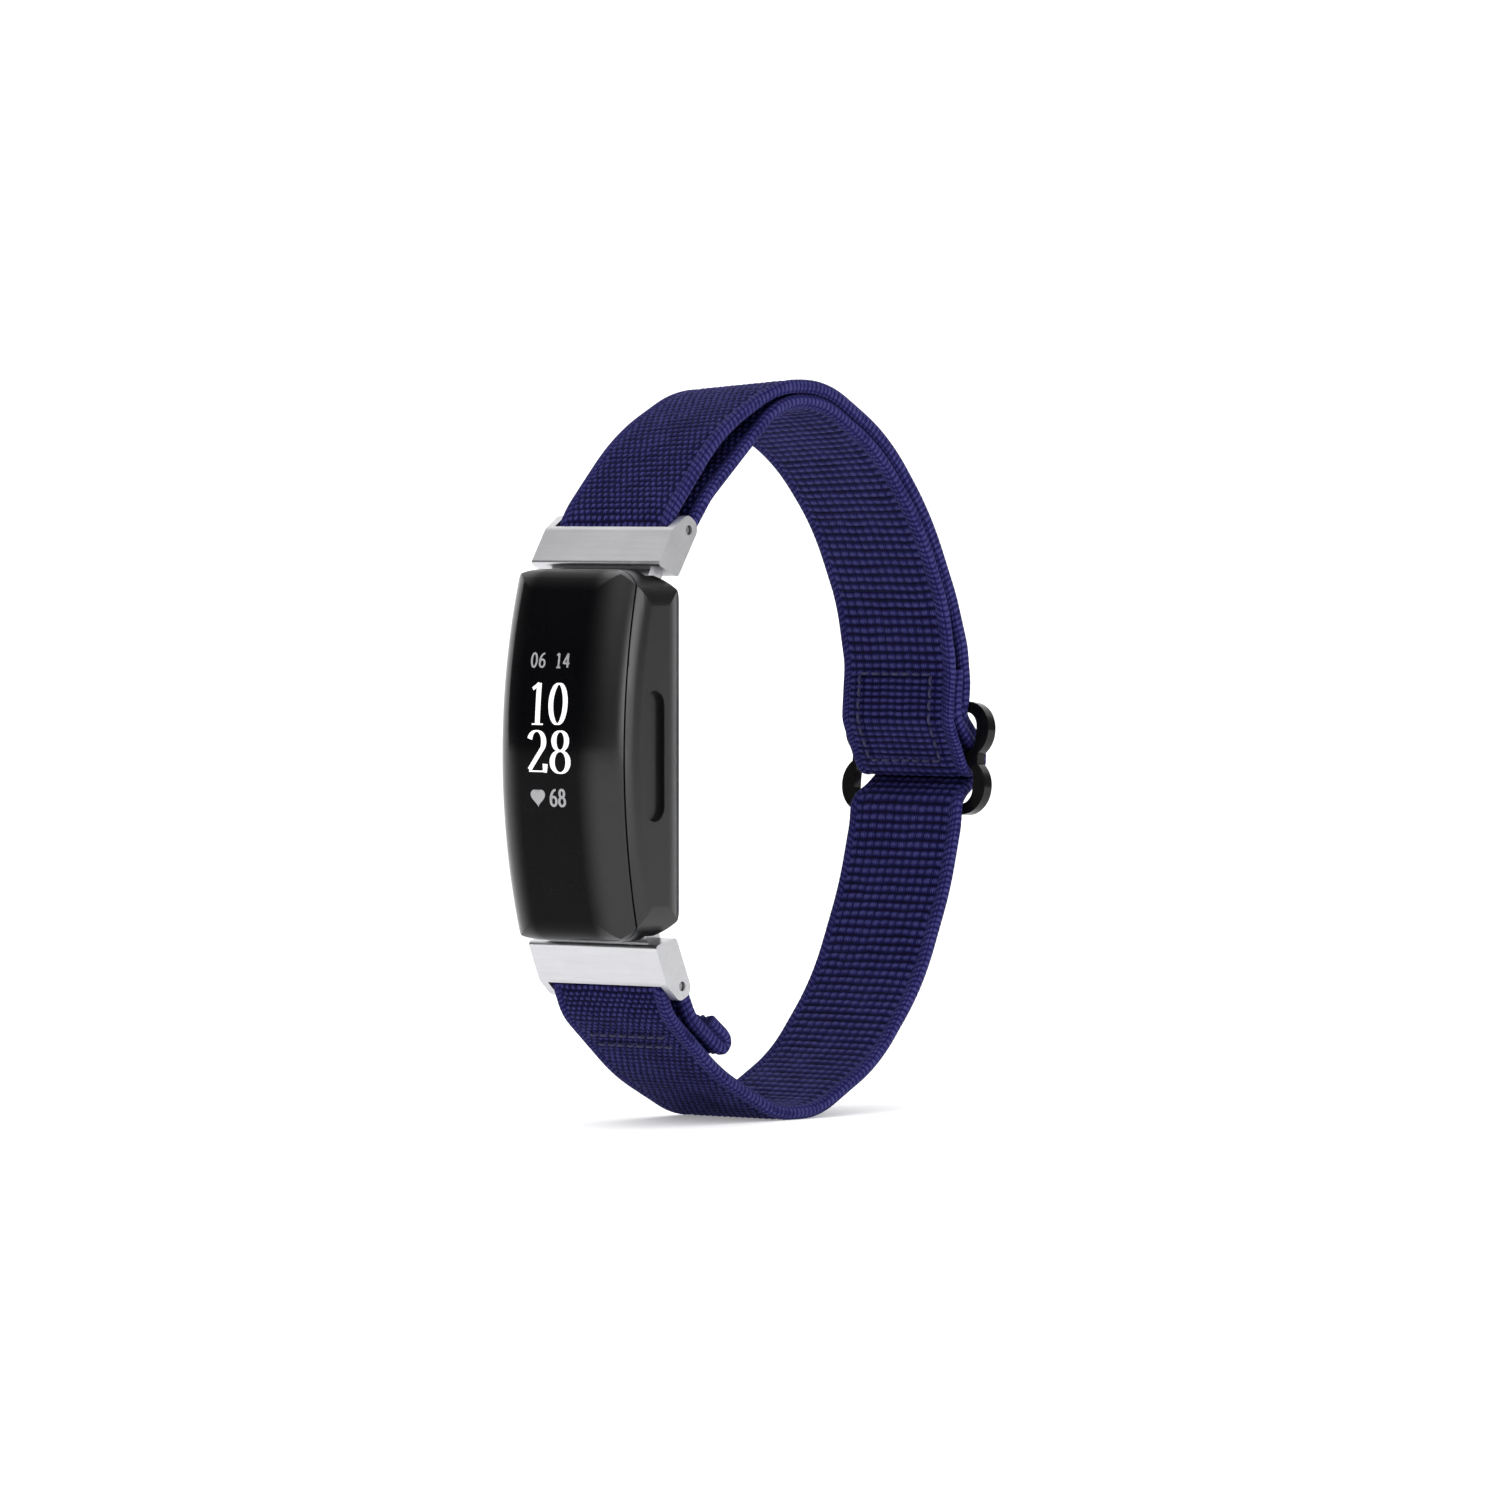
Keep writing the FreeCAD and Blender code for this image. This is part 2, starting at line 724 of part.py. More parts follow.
def inside_of(corners, distance):
    """The corners of a ply that lies inside the given one."""
    moved = []
    for before, here, after in zip(corners, corners[1:], corners[2:]):
        start = Vector(*here[:2], 0)
        first = (start - Vector(*before[:2], 0)).normalize()
        second = (Vector(*after[:2], 0) - start).normalize()
        normals = Vector(first.y, -first.x, 0) + Vector(second.y, -second.x, 0)
        point = start + normals * (distance / (1 + first.dot(second)))
        moved.append((point.x, point.y, max(1.0, here[2] - distance)))
    return moved


def halfway(first, second, share=0.5):
    return tuple(a + (b - a) * share for a, b in zip(first[:2], second[:2])) + (0.0,)


def webbing(name, corners, thickness="webbing_thickness", width="webbing_width"):
    outline = band_outline(rounded(corners, closed=False), size(thickness))
    return prism(name, outline, width)


def loop_limit(name, place, gap):
    """A cylinder about a quick-release bar that parts the webbing which turns with a connector."""
    return rod(name, place, f"loop_reach + {gap}", "webbing_width + 4", "-webbing_width / 2 - 2")


def add_upper_webbing():
    """From the upper pin over the top and down the back: an outer ply and an inner ply."""
    apex = size("apex_z")
    bend = size("webbing_thickness") / 2 + size("pin_radius") + 0.08
    outer_wrap = (*by_upper_pin(-bend, bend), bend)
    inner_wrap = (*by_upper_pin(-bend, -bend), bend)
    route = [
        outer_wrap,
        (-19.2, 61.6, 8.0),
        (-11.5, 68.6, 22.0),
        (-3.0, apex, 13.0),
        (4.3, apex, 13.0),
        (14.0, 68.3, 24.0),
        (20.3, 60.6, 30.0),
        (23.7, 53.6, 0.0),
    ]
    split = halfway(route[3], route[4])
    inner = inside_of(route, size("ply_pitch"))
    inner_split = halfway(inner[2], inner[3])
    down = (Vector(*route[7][:2], 0) - Vector(*route[6][:2], 0)).normalize()
    inner_end = Vector(*route[7][:2], 0) + Vector(down.y, -down.x, 0) * size("ply_pitch")
    throat = (-14.6, 63.4, 7.0)
    loop = [halfway(throat, inner[1]), throat, inner_wrap, outer_wrap, route[1], halfway(route[1], route[2])]
    limit = loop_limit("upper_loop_limit", UPPER, "0")
    keep(common("webbing_upper_loop", webbing("upper_loop_ply", loop), limit), "webbing_upper_loop")
    limit = loop_limit("upper_run_limit", UPPER, "loop_gap")
    run = webbing("top_outer_ply", [outer_wrap, *route[1:4], split])
    keep(cut("webbing_top_outer", run, limit), "webbing_top_outer")
    run = webbing("top_inner_ply", [inner_wrap, throat, *inner[1:3], inner_split])
    keep(cut("webbing_top_inner", run, loop_limit("inner_limit", UPPER, "loop_gap")), "webbing_top_inner")
    keep(webbing("webbing_back_outer", [split, *route[4:]]), "webbing_back_outer")
    inner_back = [inner_split, *inner[3:6], (*inner_end[:2], 0.0)]
    keep(webbing("webbing_back_inner", inner_back), "webbing_back_inner")
    return route[7], (*inner_end[:2], 0.0), down


def add_buckle_webbing(outer_end, inner_end, down):
    """The weave through the slide buckle, the sewn fold round its middle bar, and slack between."""
    fold = size("fold_thickness")
    wave = size("wave_thickness")
    bar = math.hypot(size("buckle_waist"), size("buckle_thickness") / 2) + 0.03
    fold_radius = bar + fold / 2
    wave_radius = bar + fold + 0.05 + wave / 2
    depth = size("buckle_thickness") / 2 + 0.25 + wave / 2
    slope = 40.5
    across = math.cos(math.radians(slope))
    rise = math.sin(math.radians(slope))
    wave_turn = (wave_radius + depth * rise) / across
    crest = wave_radius / rise
    upper_end = on_back(6.4, -depth)
    lower_end = on_back(-6.4, -depth)
    path = [
        (*upper_end, 0.0),
        (*on_back(wave_turn, -depth), 0.9),
        (*on_back(0.0, crest), wave_radius),
        (*on_back(-wave_turn, -depth), 0.9),
        (*lower_end, 0.0),
    ]
    narrow = "webbing_width - 1.8"
    keep(webbing("webbing_weave", path, "wave_thickness", narrow), "webbing_weave")
    tail_depth = depth + wave / 2 + 0.05 + fold / 2
    tail_turn = (fold_radius + tail_depth * rise) / across
    inner_depth = 3.9
    leave = 238.0
    lift = math.sin(math.radians(leave))
    inner_turn = (fold_radius + inner_depth * lift) / math.cos(math.radians(leave))
    path = [
        (*on_back(7.5, -tail_depth), 0.0),
        (*on_back(tail_turn, -tail_depth), 0.9),
        *wrap(on_back, fold_radius, slope, leave, 2),
        (*on_back(inner_turn, -inner_depth), 1.5),
        (*on_back(9.2, -inner_depth), 0.0),
    ]
    keep(webbing("webbing_sewn_end", path, "fold_thickness", narrow), "webbing_sewn_end")
    first = Vector(*outer_end[:2], 0) + down * 0.04
    bend = first + down * 1.6
    slack = [
        (first.x, first.y, 0.0),
        (bend.x, bend.y, 6.0),
        (25.9, 48.4, 6.0),
        (*on_back(7.8, -depth), 3.0),
        (*on_back(6.45, -depth), 0.0),
    ]
    keep(webbing("webbing_slack_outer", slack, "wave_thickness"), "webbing_slack_outer")
    first = Vector(*inner_end[:2], 0) + down * 0.04
    bend = first + down * 1.6
    slack = [
        (first.x, first.y, 0.0),
        (bend.x, bend.y, 5.0),
        (*on_back(11.2, -inner_depth - 0.35), 4.0),
        (*on_back(10.0, -inner_depth), 2.0),
        (*on_back(9.25, -inner_depth), 0.0),
    ]
    keep(webbing("webbing_slack_inner", slack, "fold_thickness"), "webbing_slack_inner")
    slack = [
        (*on_back(-9.55, -depth - 0.4), 0.0),
        (*on_back(-7.2, -depth), 2.0),
        (*on_back(-6.45, -depth), 0.0),
    ]
    keep(webbing("webbing_slack_lower", slack, "wave_thickness"), "webbing_slack_lower")
    return on_back(-9.6, -depth - 0.4)


def add_lower_webbing(start):
    """From the buckle down and round to the lower pin, and the sewn tail of the loop there."""
    nadir = size("nadir_z")
    bend = size("webbing_thickness") / 2 + size("pin_radius") + 0.08
    outer_wrap = (*by_lower_pin(-bend, bend), bend)
    inner_wrap = (*by_lower_pin(-bend, -bend), bend)
    route = [
        (*start, 0.0),
        (23.8, 22.6, 30.0),
        (19.0, 13.2, 26.0),
        (12.0, 5.7, 18.0),
        (3.1, nadir, 11.0),
        (-3.2, nadir, 11.0),
        (-11.8, 5.3, 22.0),
        (-20.0, 11.2, 4.0),
        outer_wrap,
    ]
    split = halfway(route[4], route[5])
    keep(webbing("webbing_lower_back", [*route[:5], split]), "webbing_lower_back")
    run = webbing("bottom_ply", [split, *route[5:]])
    keep(cut("webbing_bottom", run, loop_limit("bottom_limit", LOWER, "loop_gap")), "webbing_bottom")
    elbow = (-16.6, 10.9, 3.0)
    tail = (-12.2, 7.75, 0.0)
    loop = [halfway(route[7], route[6]), route[7], outer_wrap, inner_wrap, elbow, tail]
    limit = loop_limit("lower_loop_limit", LOWER, "0")
    keep(common("webbing_lower_loop", webbing("lower_loop_ply", loop), limit), "webbing_lower_loop")
    downhill = Vector(tail[0] - elbow[0], tail[1] - elbow[1], 0).normalize()
    inward = Vector(-downhill.y, downhill.x, 0)
    hem = size("webbing_thickness") / 2
    reach = Vector(tail[0], tail[1], 0)
    turn_near = reach + downhill * hem
    turn_far = turn_near + inward * (2 * hem + 0.02)
    end = turn_far - downhill * 3.2
    path = [
        elbow,
        (turn_near.x, turn_near.y, hem + 0.005),
        (turn_far.x, turn_far.y, hem + 0.005),
        (end.x, end.y, 0.0),
    ]
    run = webbing("tail_ply", path)
    keep(cut("webbing_tail_hem", run, loop_limit("tail_limit", LOWER, "loop_gap")), "webbing_tail_hem")


# ---------------------------------------------------------------- slide buckle


def stadium(width, bottom, top, radius):
    """A rounded rectangle centred on x = 0, between two heights."""
    half = width / 2
    return [(half, bottom, radius), (half, top, radius), (-half, top, radius), (-half, bottom, radius)]


def add_buckle():
    """A flat plate of two round-ended lobes with a slot in each, and a bar between the slots."""
    half = size("buckle_height") / 2
    width = size("buckle_width")
    waist = size("buckle_waist")
    inner_width = width - 2 * size("buckle_rail")
    outer_radius = half / 2 - 0.05
    slot_top = half - size("buckle_bar")
    slot_radius = size("buckle_slot_corner")
    lobes = []
    slots = []
    for name, sign in (("upper", 1), ("lower", -1)):
        levels = sorted((0.0, sign * half))
        outline = curves(rounded(stadium(width, *levels, outer_radius)))
        lobes.append(prism(name + "_lobe", outline, "buckle_thickness", "XZ_Plane"))
        levels = sorted((sign * waist, sign * slot_top))
        outline = curves(rounded(stadium(inner_width, *levels, slot_radius)))
        slots.append(prism(name + "_slot", outline, "buckle_thickness + 2", "XZ_Plane"))
    bridge = box("bridge", Placement(), "buckle_width - 2.4", "buckle_thickness", "2 * buckle_waist")
    plate = joined("buckle_plate", [*lobes, bridge])
    keep(cut("slide_buckle", plate, joined("buckle_slots", slots)), "slide_buckle", BUCKLE)


add_lens()
add_seal()
add_housing()
add_rear_cover()
add_display()
add_boards()
add_battery()
add_motor()
add_contacts()
add_touch_electrodes()
add_connector("upper", UPPER)
add_connector("lower", LOWER)
upper_ends = add_upper_webbing()
add_lower_webbing(add_buckle_webbing(*upper_ends))
add_buckle()
doc.recompute()

for item in doc.Objects:
    if "Invalid" in item.State or "Error" in item.State:
        raise RuntimeError(f"{item.Label} failed: {item.State}")
os.makedirs("parts", exist_ok=True)
for item in nodes:
    if item.Shape.isNull() or not item.Shape.isValid() or not item.Shape.Solids:
        raise RuntimeError(f"{item.Label} has no valid solid")
    item.Shape.exportStep(os.path.join("parts", item.Label + ".step"))
    print(f"{item.Label}: {len(item.Shape.Solids)} solid(s), {item.Shape.Volume:.2f} cubic mm")
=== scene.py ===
import json
import math

import bpy
import numpy as np
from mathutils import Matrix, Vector
from mathutils.bvhtree import BVHTree


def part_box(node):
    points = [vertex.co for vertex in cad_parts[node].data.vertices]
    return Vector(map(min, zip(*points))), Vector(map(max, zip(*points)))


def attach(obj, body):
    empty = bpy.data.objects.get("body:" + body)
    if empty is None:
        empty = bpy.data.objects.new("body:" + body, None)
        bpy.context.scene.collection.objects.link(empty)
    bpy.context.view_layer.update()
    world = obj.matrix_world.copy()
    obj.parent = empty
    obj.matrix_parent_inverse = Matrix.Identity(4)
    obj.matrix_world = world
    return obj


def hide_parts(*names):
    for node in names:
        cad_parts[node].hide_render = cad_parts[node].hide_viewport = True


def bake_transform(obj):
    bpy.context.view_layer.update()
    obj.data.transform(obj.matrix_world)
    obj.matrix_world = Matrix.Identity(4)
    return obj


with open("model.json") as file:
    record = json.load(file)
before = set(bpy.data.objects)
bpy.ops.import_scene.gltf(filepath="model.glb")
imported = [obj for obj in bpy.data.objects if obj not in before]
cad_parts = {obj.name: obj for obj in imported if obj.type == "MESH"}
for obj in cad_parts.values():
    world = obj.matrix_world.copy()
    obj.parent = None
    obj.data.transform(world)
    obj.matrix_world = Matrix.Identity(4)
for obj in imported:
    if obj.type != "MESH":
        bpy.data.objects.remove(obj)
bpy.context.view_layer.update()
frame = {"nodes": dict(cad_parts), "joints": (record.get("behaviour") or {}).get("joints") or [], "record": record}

# A fitness tracker on a navy elastic webbing band.  Lengths are metres unless a name ends in _mm.
# X runs across the band, the display looks along -Y, +Z is up.

MM = 0.001
NODES = frame["nodes"]
JOINTS = {joint["name"]: joint for joint in frame["joints"]}


def middle_mm(node):
    low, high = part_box(node)
    return (low + high) / 2 / MM


def joint_place_mm(name):
    return Vector(JOINTS[name]["pos_m"]) / MM


CASE_BOXES = [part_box(name) for name in ("front_lens", "main_housing", "rear_cover")]
CASE_LOW = Vector(map(min, *(low for low, high in CASE_BOXES)))
CASE_HIGH = Vector(map(max, *(high for low, high in CASE_BOXES)))
TRACKER = (CASE_LOW + CASE_HIGH) / 2


# ---------------------------------------------------------------- node materials


class Nodes:
    """Adds nodes to a tree and links them, by plain function calls."""

    def __init__(self, tree):
        self.tree = tree

    def add(self, kind, inputs=(), **settings):
        node = self.tree.nodes.new(kind)
        for key, value in settings.items():
            setattr(node, key, value)
        for key, value in dict(inputs).items():
            self.feed(node.inputs[key], value)
        return node

    def feed(self, socket, value):
        if isinstance(value, bpy.types.NodeSocket):
            self.tree.links.new(value, socket)
        else:
            socket.default_value = value

    def math(self, operation, *values, clamp=False):
        node = self.add("ShaderNodeMath", enumerate(values), operation=operation, use_clamp=clamp)
        return node.outputs[0]


class Graph(Nodes):
    """Builds a node material."""

    def __init__(self, name):
        self.material = bpy.data.materials.new(name)
        self.material.use_nodes = True
        super().__init__(self.material.node_tree)
        self.shader = self.tree.nodes["Principled BSDF"]

    def place(self):
        return self.add("ShaderNodeTexCoord").outputs["Object"]

    def noise(self, scale, detail=3.0, vector=None, roughness=0.55):
        inputs = {"Vector": vector or self.place(), "Scale": scale, "Detail": detail, "Roughness": roughness}
        return self.add("ShaderNodeTexNoise", inputs).outputs["Fac"]

    def stretched(self, x, y, z):
        node = self.add("ShaderNodeMapping", {"Vector": self.place(), "Scale": (x, y, z)})
        return node.outputs[0]

    def ramp(self, factor, stops):
        node = self.add("ShaderNodeValToRGB", {"Fac": factor})
        elements = node.color_ramp.elements
        while len(elements) < len(stops):
            elements.new(0.5)
        for element, (position, colour) in zip(elements, stops):
            element.position = position
            element.color = (*colour, 1.0)
        return node.outputs["Color"]

    def spread(self, factor, low, high):
        node = self.add("ShaderNodeMapRange", {"Value": factor, "To Min": low, "To Max": high})
        return node.outputs[0]

    def bump(self, height, distance, strength=1.0, normal=None):
        node = self.add("ShaderNodeBump", {"Height": height, "Distance": distance, "Strength": strength})
        if normal is not None:
            self.feed(node.inputs["Normal"], normal)
        return node.outputs[0]

    def set(self, **sockets):
        for key, value in sockets.items():
            self.feed(self.shader.inputs[key.replace("_", " ")], value)
        return self.material


def ridge(graph, value, pitch, power, shift=0.0):
    """Rounded ridges of the given pitch: 0 in the gaps, 1 on the crests."""
    turns = graph.math("MULTIPLY_ADD", value, math.pi / pitch, shift)
    crest = graph.math("ABSOLUTE", graph.math("SINE", turns))
    return graph.math("POWER", crest, power)


# Pitches of the weave's rows and columns outside (fine) and inside (coarse), and how full its yarns are.
FINE_ROW_MM = 0.70
FINE_COLUMN_MM = 0.78
FINE_ROW_POWER = 0.6
DASH_POWER = 0.55
COARSE_ROW_MM = 0.96
COARSE_COLUMN_MM = 1.06
COARSE_ROW_POWER = 0.75
COLUMN_POWER = 0.4
COLUMN_SHARE = 0.62
STRAND_MM = 0.27
# The selvedges: where they start from the middle, how sharply, and their slanting ribs.
SELVEDGE_MM = 5.95
SELVEDGE_RAMP = 4.0
RIB_MM = 0.62
RIB_SLANT = 0.55
RIB_POWER = 0.7


def webbing_material():
    """Woven elastic nylon: a fine broken weave outside, a block weave inside, ribbed selvedges."""
    graph = Graph("navy_webbing")
    where = graph.add("ShaderNodeAttribute", attribute_name="weave_place").outputs["Vector"]
    split = graph.add("ShaderNodeSeparateXYZ", {"Vector": where})
    across, along, facing = split.outputs
    wander = graph.noise(420.0, 2.0)
    drift = graph.spread(wander, -0.22, 0.22)
    along_soft = graph.math("ADD", along, drift)
    across_soft = graph.math("ADD", across, graph.spread(graph.noise(380.0, 2.0), -0.16, 0.16))
    row = graph.math("FLOOR", graph.math("DIVIDE", along_soft, FINE_ROW_MM))
    odd = graph.math("MULTIPLY", graph.math("PINGPONG", row, 1.0), math.pi / 2)
    turn = graph.math("MULTIPLY_ADD", across_soft, math.pi / FINE_COLUMN_MM, odd)
    dash = graph.math("POWER", graph.math("ABSOLUTE", graph.math("SINE", turn)), DASH_POWER)
    fine = graph.math("MULTIPLY", dash, ridge(graph, along_soft, FINE_ROW_MM, FINE_ROW_POWER))
    columns = ridge(graph, across_soft, COARSE_COLUMN_MM, COLUMN_POWER)
    columns = graph.math("MULTIPLY_ADD", columns, COLUMN_SHARE, 1 - COLUMN_SHARE)
    rows = ridge(graph, along_soft, COARSE_ROW_MM, COARSE_ROW_POWER)
    blocks = graph.math("MULTIPLY", columns, rows)
    body = graph.add("ShaderNodeMix", {0: facing, 2: blocks, 3: fine}).outputs[0]
    distance = graph.math("ABSOLUTE", across)
    edge = graph.math("MULTIPLY_ADD", distance, SELVEDGE_RAMP, -SELVEDGE_RAMP * SELVEDGE_MM, clamp=True)
    ribs = ridge(graph, graph.math("MULTIPLY_ADD", distance, RIB_SLANT, along_soft), RIB_MM, 0.6)
    ribs = graph.math("MULTIPLY_ADD", ribs, 0.5, 0.35)
    height = graph.add("ShaderNodeMix", {0: edge, 2: body, 3: ribs}).outputs[0]
    fibres = graph.noise(5200.0, 2.0)
    patches = graph.noise(260.0, 3.0)
    strands = graph.math("MULTIPLY_ADD", ridge(graph, across_soft, STRAND_MM, 0.8), 0.35, 0.65)
    height = graph.math("MULTIPLY", height, strands)
    # The colour follows the weave's relief: the gaps between yarns are darkened as painted shade and the crests
    # lightened as painted highlight. The fibre and patch noise are the yarn's own uneven tone.
    tone = graph.math("MULTIPLY_ADD", fibres, 0.42, graph.math("MULTIPLY", height, 1.05))
    tone = graph.math("MULTIPLY_ADD", patches, 0.20, graph.math("SUBTRACT", tone, 0.30))
    # Ramp from the painted shade in the gaps, through navy, to the painted highlight on the crests.
    colour = graph.ramp(
        tone,
        [
            (0.08, (0.0004, 0.0003, 0.0036)),
            (0.38, (0.0048, 0.0040, 0.0400)),
            (0.66, (0.0110, 0.0096, 0.0760)),
            (1.00, (0.0560, 0.0540, 0.1900)),
        ],
    )
    weave_bump = graph.bump(height, 0.16 * MM, 0.9)
    normal = graph.bump(fibres, 0.05 * MM, 0.55, weave_bump)
    graph.shader.inputs["Sheen Weight"].default_value = 0.03
    graph.shader.inputs["Sheen Roughness"].default_value = 0.45
    graph.shader.inputs["Sheen Tint"].default_value = (0.25, 0.25, 0.8, 1.0)
    graph.shader.inputs["Specular IOR Level"].default_value = 0.07
    roughness = graph.spread(fibres, 0.55, 0.85)
    return graph.set(Base_Color=colour, Roughness=roughness, Normal=normal)


def thread_material():
    graph = Graph("navy_thread")
    twist = graph.add("ShaderNodeTexWave", {"Scale": 2600.0, "Distortion": 1.5}).outputs["Fac"]
    # The colour follows the twist's relief: darker in its grooves as painted shade, lighter on its ridges as
    # painted highlight.
    colour = graph.ramp(twist, [(0.0, (0.014, 0.012, 0.075)), (1.0, (0.060, 0.056, 0.210))])
    graph.shader.inputs["Sheen Weight"].default_value = 0.05
    return graph.set(Base_Color=colour, Roughness=0.5, Normal=graph.bump(twist, 0.04 * MM))


def lens_material():
    """Black hard-coated lens: a low-reflection window over the display and a glossy rim."""
    graph = Graph("black_lens")
    haze = graph.noise(130.0, 4.0)
    colour = graph.ramp(haze, [(0.3, (0.0016, 0.0017, 0.0022)), (0.8, (0.0026, 0.0027, 0.0034))])
    across = graph.add("ShaderNodeSeparateXYZ", {"Vector": graph.place()}).outputs[0]
    reach = {"Value": graph.math("ABSOLUTE", across), "From Min": 3.6 * MM, "From Max": 6.4 * MM}
    reach.update({"To Min": 0.06, "To Max": 0.50})
    gloss = graph.add("ShaderNodeMapRange", reach, interpolation_type="SMOOTHSTEP").outputs[0]
    roughness = graph.spread(haze, 0.10, 0.15)
    return graph.set(Base_Color=colour, Roughness=roughness, Specular_IOR_Level=gloss)


def casing_material():
    """Satin black moulded casing with a very fine moulded grain."""
    graph = Graph("satin_black_casing")
    grain = graph.noise(9000.0, 2.0)
    wear = graph.noise(150.0, 4.0)
    colour = graph.ramp(wear, [(0.3, (0.0040, 0.0040, 0.0044)), (0.8, (0.0062, 0.0062, 0.0066))])
    graph.shader.inputs["Specular IOR Level"].default_value = 0.46
    normal = graph.bump(grain, 0.004 * MM, 0.35)
    return graph.set(Base_Color=colour, Roughness=graph.spread(wear, 0.22, 0.30), Normal=normal)


def metal_material(name, light, dark, brush, roughness, bump=0.012):
    """Satin metal with brushing along X; brush is the stretch of the grain."""
    graph = Graph(name)
    lines = graph.noise(1.0, 4.0, graph.stretched(160.0, brush, brush), 0.7)
    cloud = graph.noise(320.0, 3.0)
    mixed = graph.math("MULTIPLY_ADD", lines, 0.65, graph.math("MULTIPLY", cloud, 0.35))
    colour = graph.ramp(mixed, [(0.30, dark), (0.72, light)])
    graph.shader.inputs["Metallic"].default_value = 1.0
    graph.shader.inputs["Anisotropic"].default_value = 0.35
    normal = graph.bump(lines, bump * MM, 0.7)
    spread = graph.spread(mixed, roughness - 0.07, roughness + 0.09)
    return graph.set(Base_Color=colour, Roughness=spread, Normal=normal)


def plastic_material(name, colour, roughness, grain=4000.0, bump=0.006):
    """A moulded or coated piece: its colour, slightly uneven, with a fine grain."""
    graph = Graph(name)
    cloud = graph.noise(420.0, 3.0)
    darker = tuple(channel * 0.72 for channel in colour)
    tone = graph.ramp(cloud, [(0.30, darker), (0.75, colour)])
    normal = graph.bump(graph.noise(grain, 2.0), bump * MM, 0.5)
    spread = graph.spread(cloud, roughness * 0.85, min(1.0, roughness * 1.2))
    return graph.set(Base_Color=tone, Roughness=spread, Normal=normal)


def enamel_material():
    """Black gloss enamel on the slide buckle, worn a little."""
    graph = Graph("black_enamel")
    cloud = graph.noise(500.0, 4.0)
    colour = graph.ramp(cloud, [(0.3, (0.003, 0.003, 0.003)), (0.8, (0.006, 0.006, 0.006))])
    graph.shader.inputs["Coat Weight"].default_value = 0.12
    graph.shader.inputs["Coat Roughness"].default_value = 0.08
    graph.shader.inputs["Specular IOR Level"].default_value = 0.14
    normal = graph.bump(graph.noise(900.0, 3.0), 0.01 * MM, 0.4)
    return graph.set(Base_Color=colour, Roughness=graph.spread(cloud, 0.16, 0.3), Normal=normal)


def glow_material(name, colour, strength):
    """A lit display segment: fine rows of pixels, brighter than the glass round them."""
    graph = Graph(name)
    rows = graph.add("ShaderNodeTexWave", {"Scale": 1400.0}, bands_direction="Z").outputs["Fac"]
    tone = graph.ramp(rows, [(0.0, tuple(channel * 0.86 for channel in colour)), (1.0, colour)])
    graph.shader.inputs["Emission Strength"].default_value = strength
    return graph.set(Base_Color=tone, Emission_Color=tone, Roughness=0.3)


MATERIALS = {
    "lens": lens_material(),
    "casing": casing_material(),
    "connector": metal_material("satin_steel", (0.60, 0.60, 0.62), (0.52, 0.52, 0.54), 2600.0, 0.30),
    "bar_steel": metal_material("turned_steel", (0.42, 0.42, 0.43), (0.20, 0.20, 0.21), 5000.0, 0.30),
    "contact": metal_material("gold_plate", (0.78, 0.55, 0.22), (0.62, 0.42, 0.15), 2000.0, 0.25),
    "battery": metal_material("battery_foil", (0.55, 0.56, 0.58), (0.36, 0.37, 0.39), 600.0, 0.38),
    "weight": metal_material("sintered_weight", (0.24, 0.24, 0.25), (0.12, 0.12, 0.12), 3000.0, 0.55),
    "buckle": enamel_material(),
    "display": plastic_material("display_glass", (0.010, 0.011, 0.014), 0.08, 2500.0, 0.001),
    "flex": plastic_material("amber_flex", (0.32, 0.14, 0.02), 0.42),
    "seal": plastic_material("black_seal", (0.003, 0.003, 0.003), 0.8),
    "window": plastic_material("smoked_window", (0.012, 0.013, 0.016), 0.06, 2500.0, 0.001),
    "board": plastic_material("circuit_board", (0.012, 0.085, 0.035), 0.4),
    "light": plastic_material("pulse_lamp", (0.20, 0.55, 0.22), 0.2),
    "chip": plastic_material("chip_moulding", (0.012, 0.012, 0.012), 0.55),
    "carrier": plastic_material("carrier_moulding", (0.055, 0.055, 0.060), 0.5),
    "webbing": webbing_material(),
    "thread": thread_material(),
}


BROKEN_EDGES_MM = {"upper_connector": 0.14, "lower_connector": 0.14, "slide_buckle": 0.34}
EDGE_STEPS = 3
SHARPEST_KEPT = math.radians(40.0)


def dress_cad_nodes():
    """Every CAD node gets the material of its slot; the metal pieces get a broken edge."""
    for part in frame["record"]["subparts"]:
        target = NODES[part["node"]]
        target.data.materials.clear()
        target.data.materials.append(MATERIALS[part["material_slot"]])
    for name, width_mm in BROKEN_EDGES_MM.items():
        bevel = NODES[name].modifiers.new("broken_edge", "BEVEL")
        bevel.width = width_mm * MM
        bevel.segments = EDGE_STEPS
        bevel.limit_method = "ANGLE"
        bevel.angle_limit = SHARPEST_KEPT
        bevel.harden_normals = False


# ---------------------------------------------------------------- the band's route


TILTS = JOINTS["buckle_adjust"]["axis"]
BUCKLE = middle_mm("slide_buckle")
UPPER_PIVOT = joint_place_mm("upper_pivot")
LOWER_PIVOT = joint_place_mm("lower_pivot")
UPPER_PIN = middle_mm("upper_pin_tube")
LOWER_PIN = middle_mm("lower_pin_tube")
BAND_WIDTH_MM = 14.4
IN_SLOT_MM = 13.4
PLY_MM = 1.35
SEWN_PLY_MM = 1.12
IN_BUCKLE_PLY_MM = 1.2
PLY_PITCH_MM = 1.5
PIN_BEND_MM = 1.36
SMALLEST_BEND_MM = 1.0
# The tail's fold round the buckle's bar, from its first angle to its last, in degrees.
FOLD_MM = 1.36
FOLD_FROM = 40.5
FOLD_TO = 238.0
HEM_BEND_MM = 0.70


def on_back(along, out):
    """A point by the buckle: upwards along the band, and out from the buckle's plane."""
    y = BUCKLE.y + along * TILTS[1] + out * TILTS[2]
    z = BUCKLE.z + along * TILTS[2] - out * TILTS[1]
    return y, z


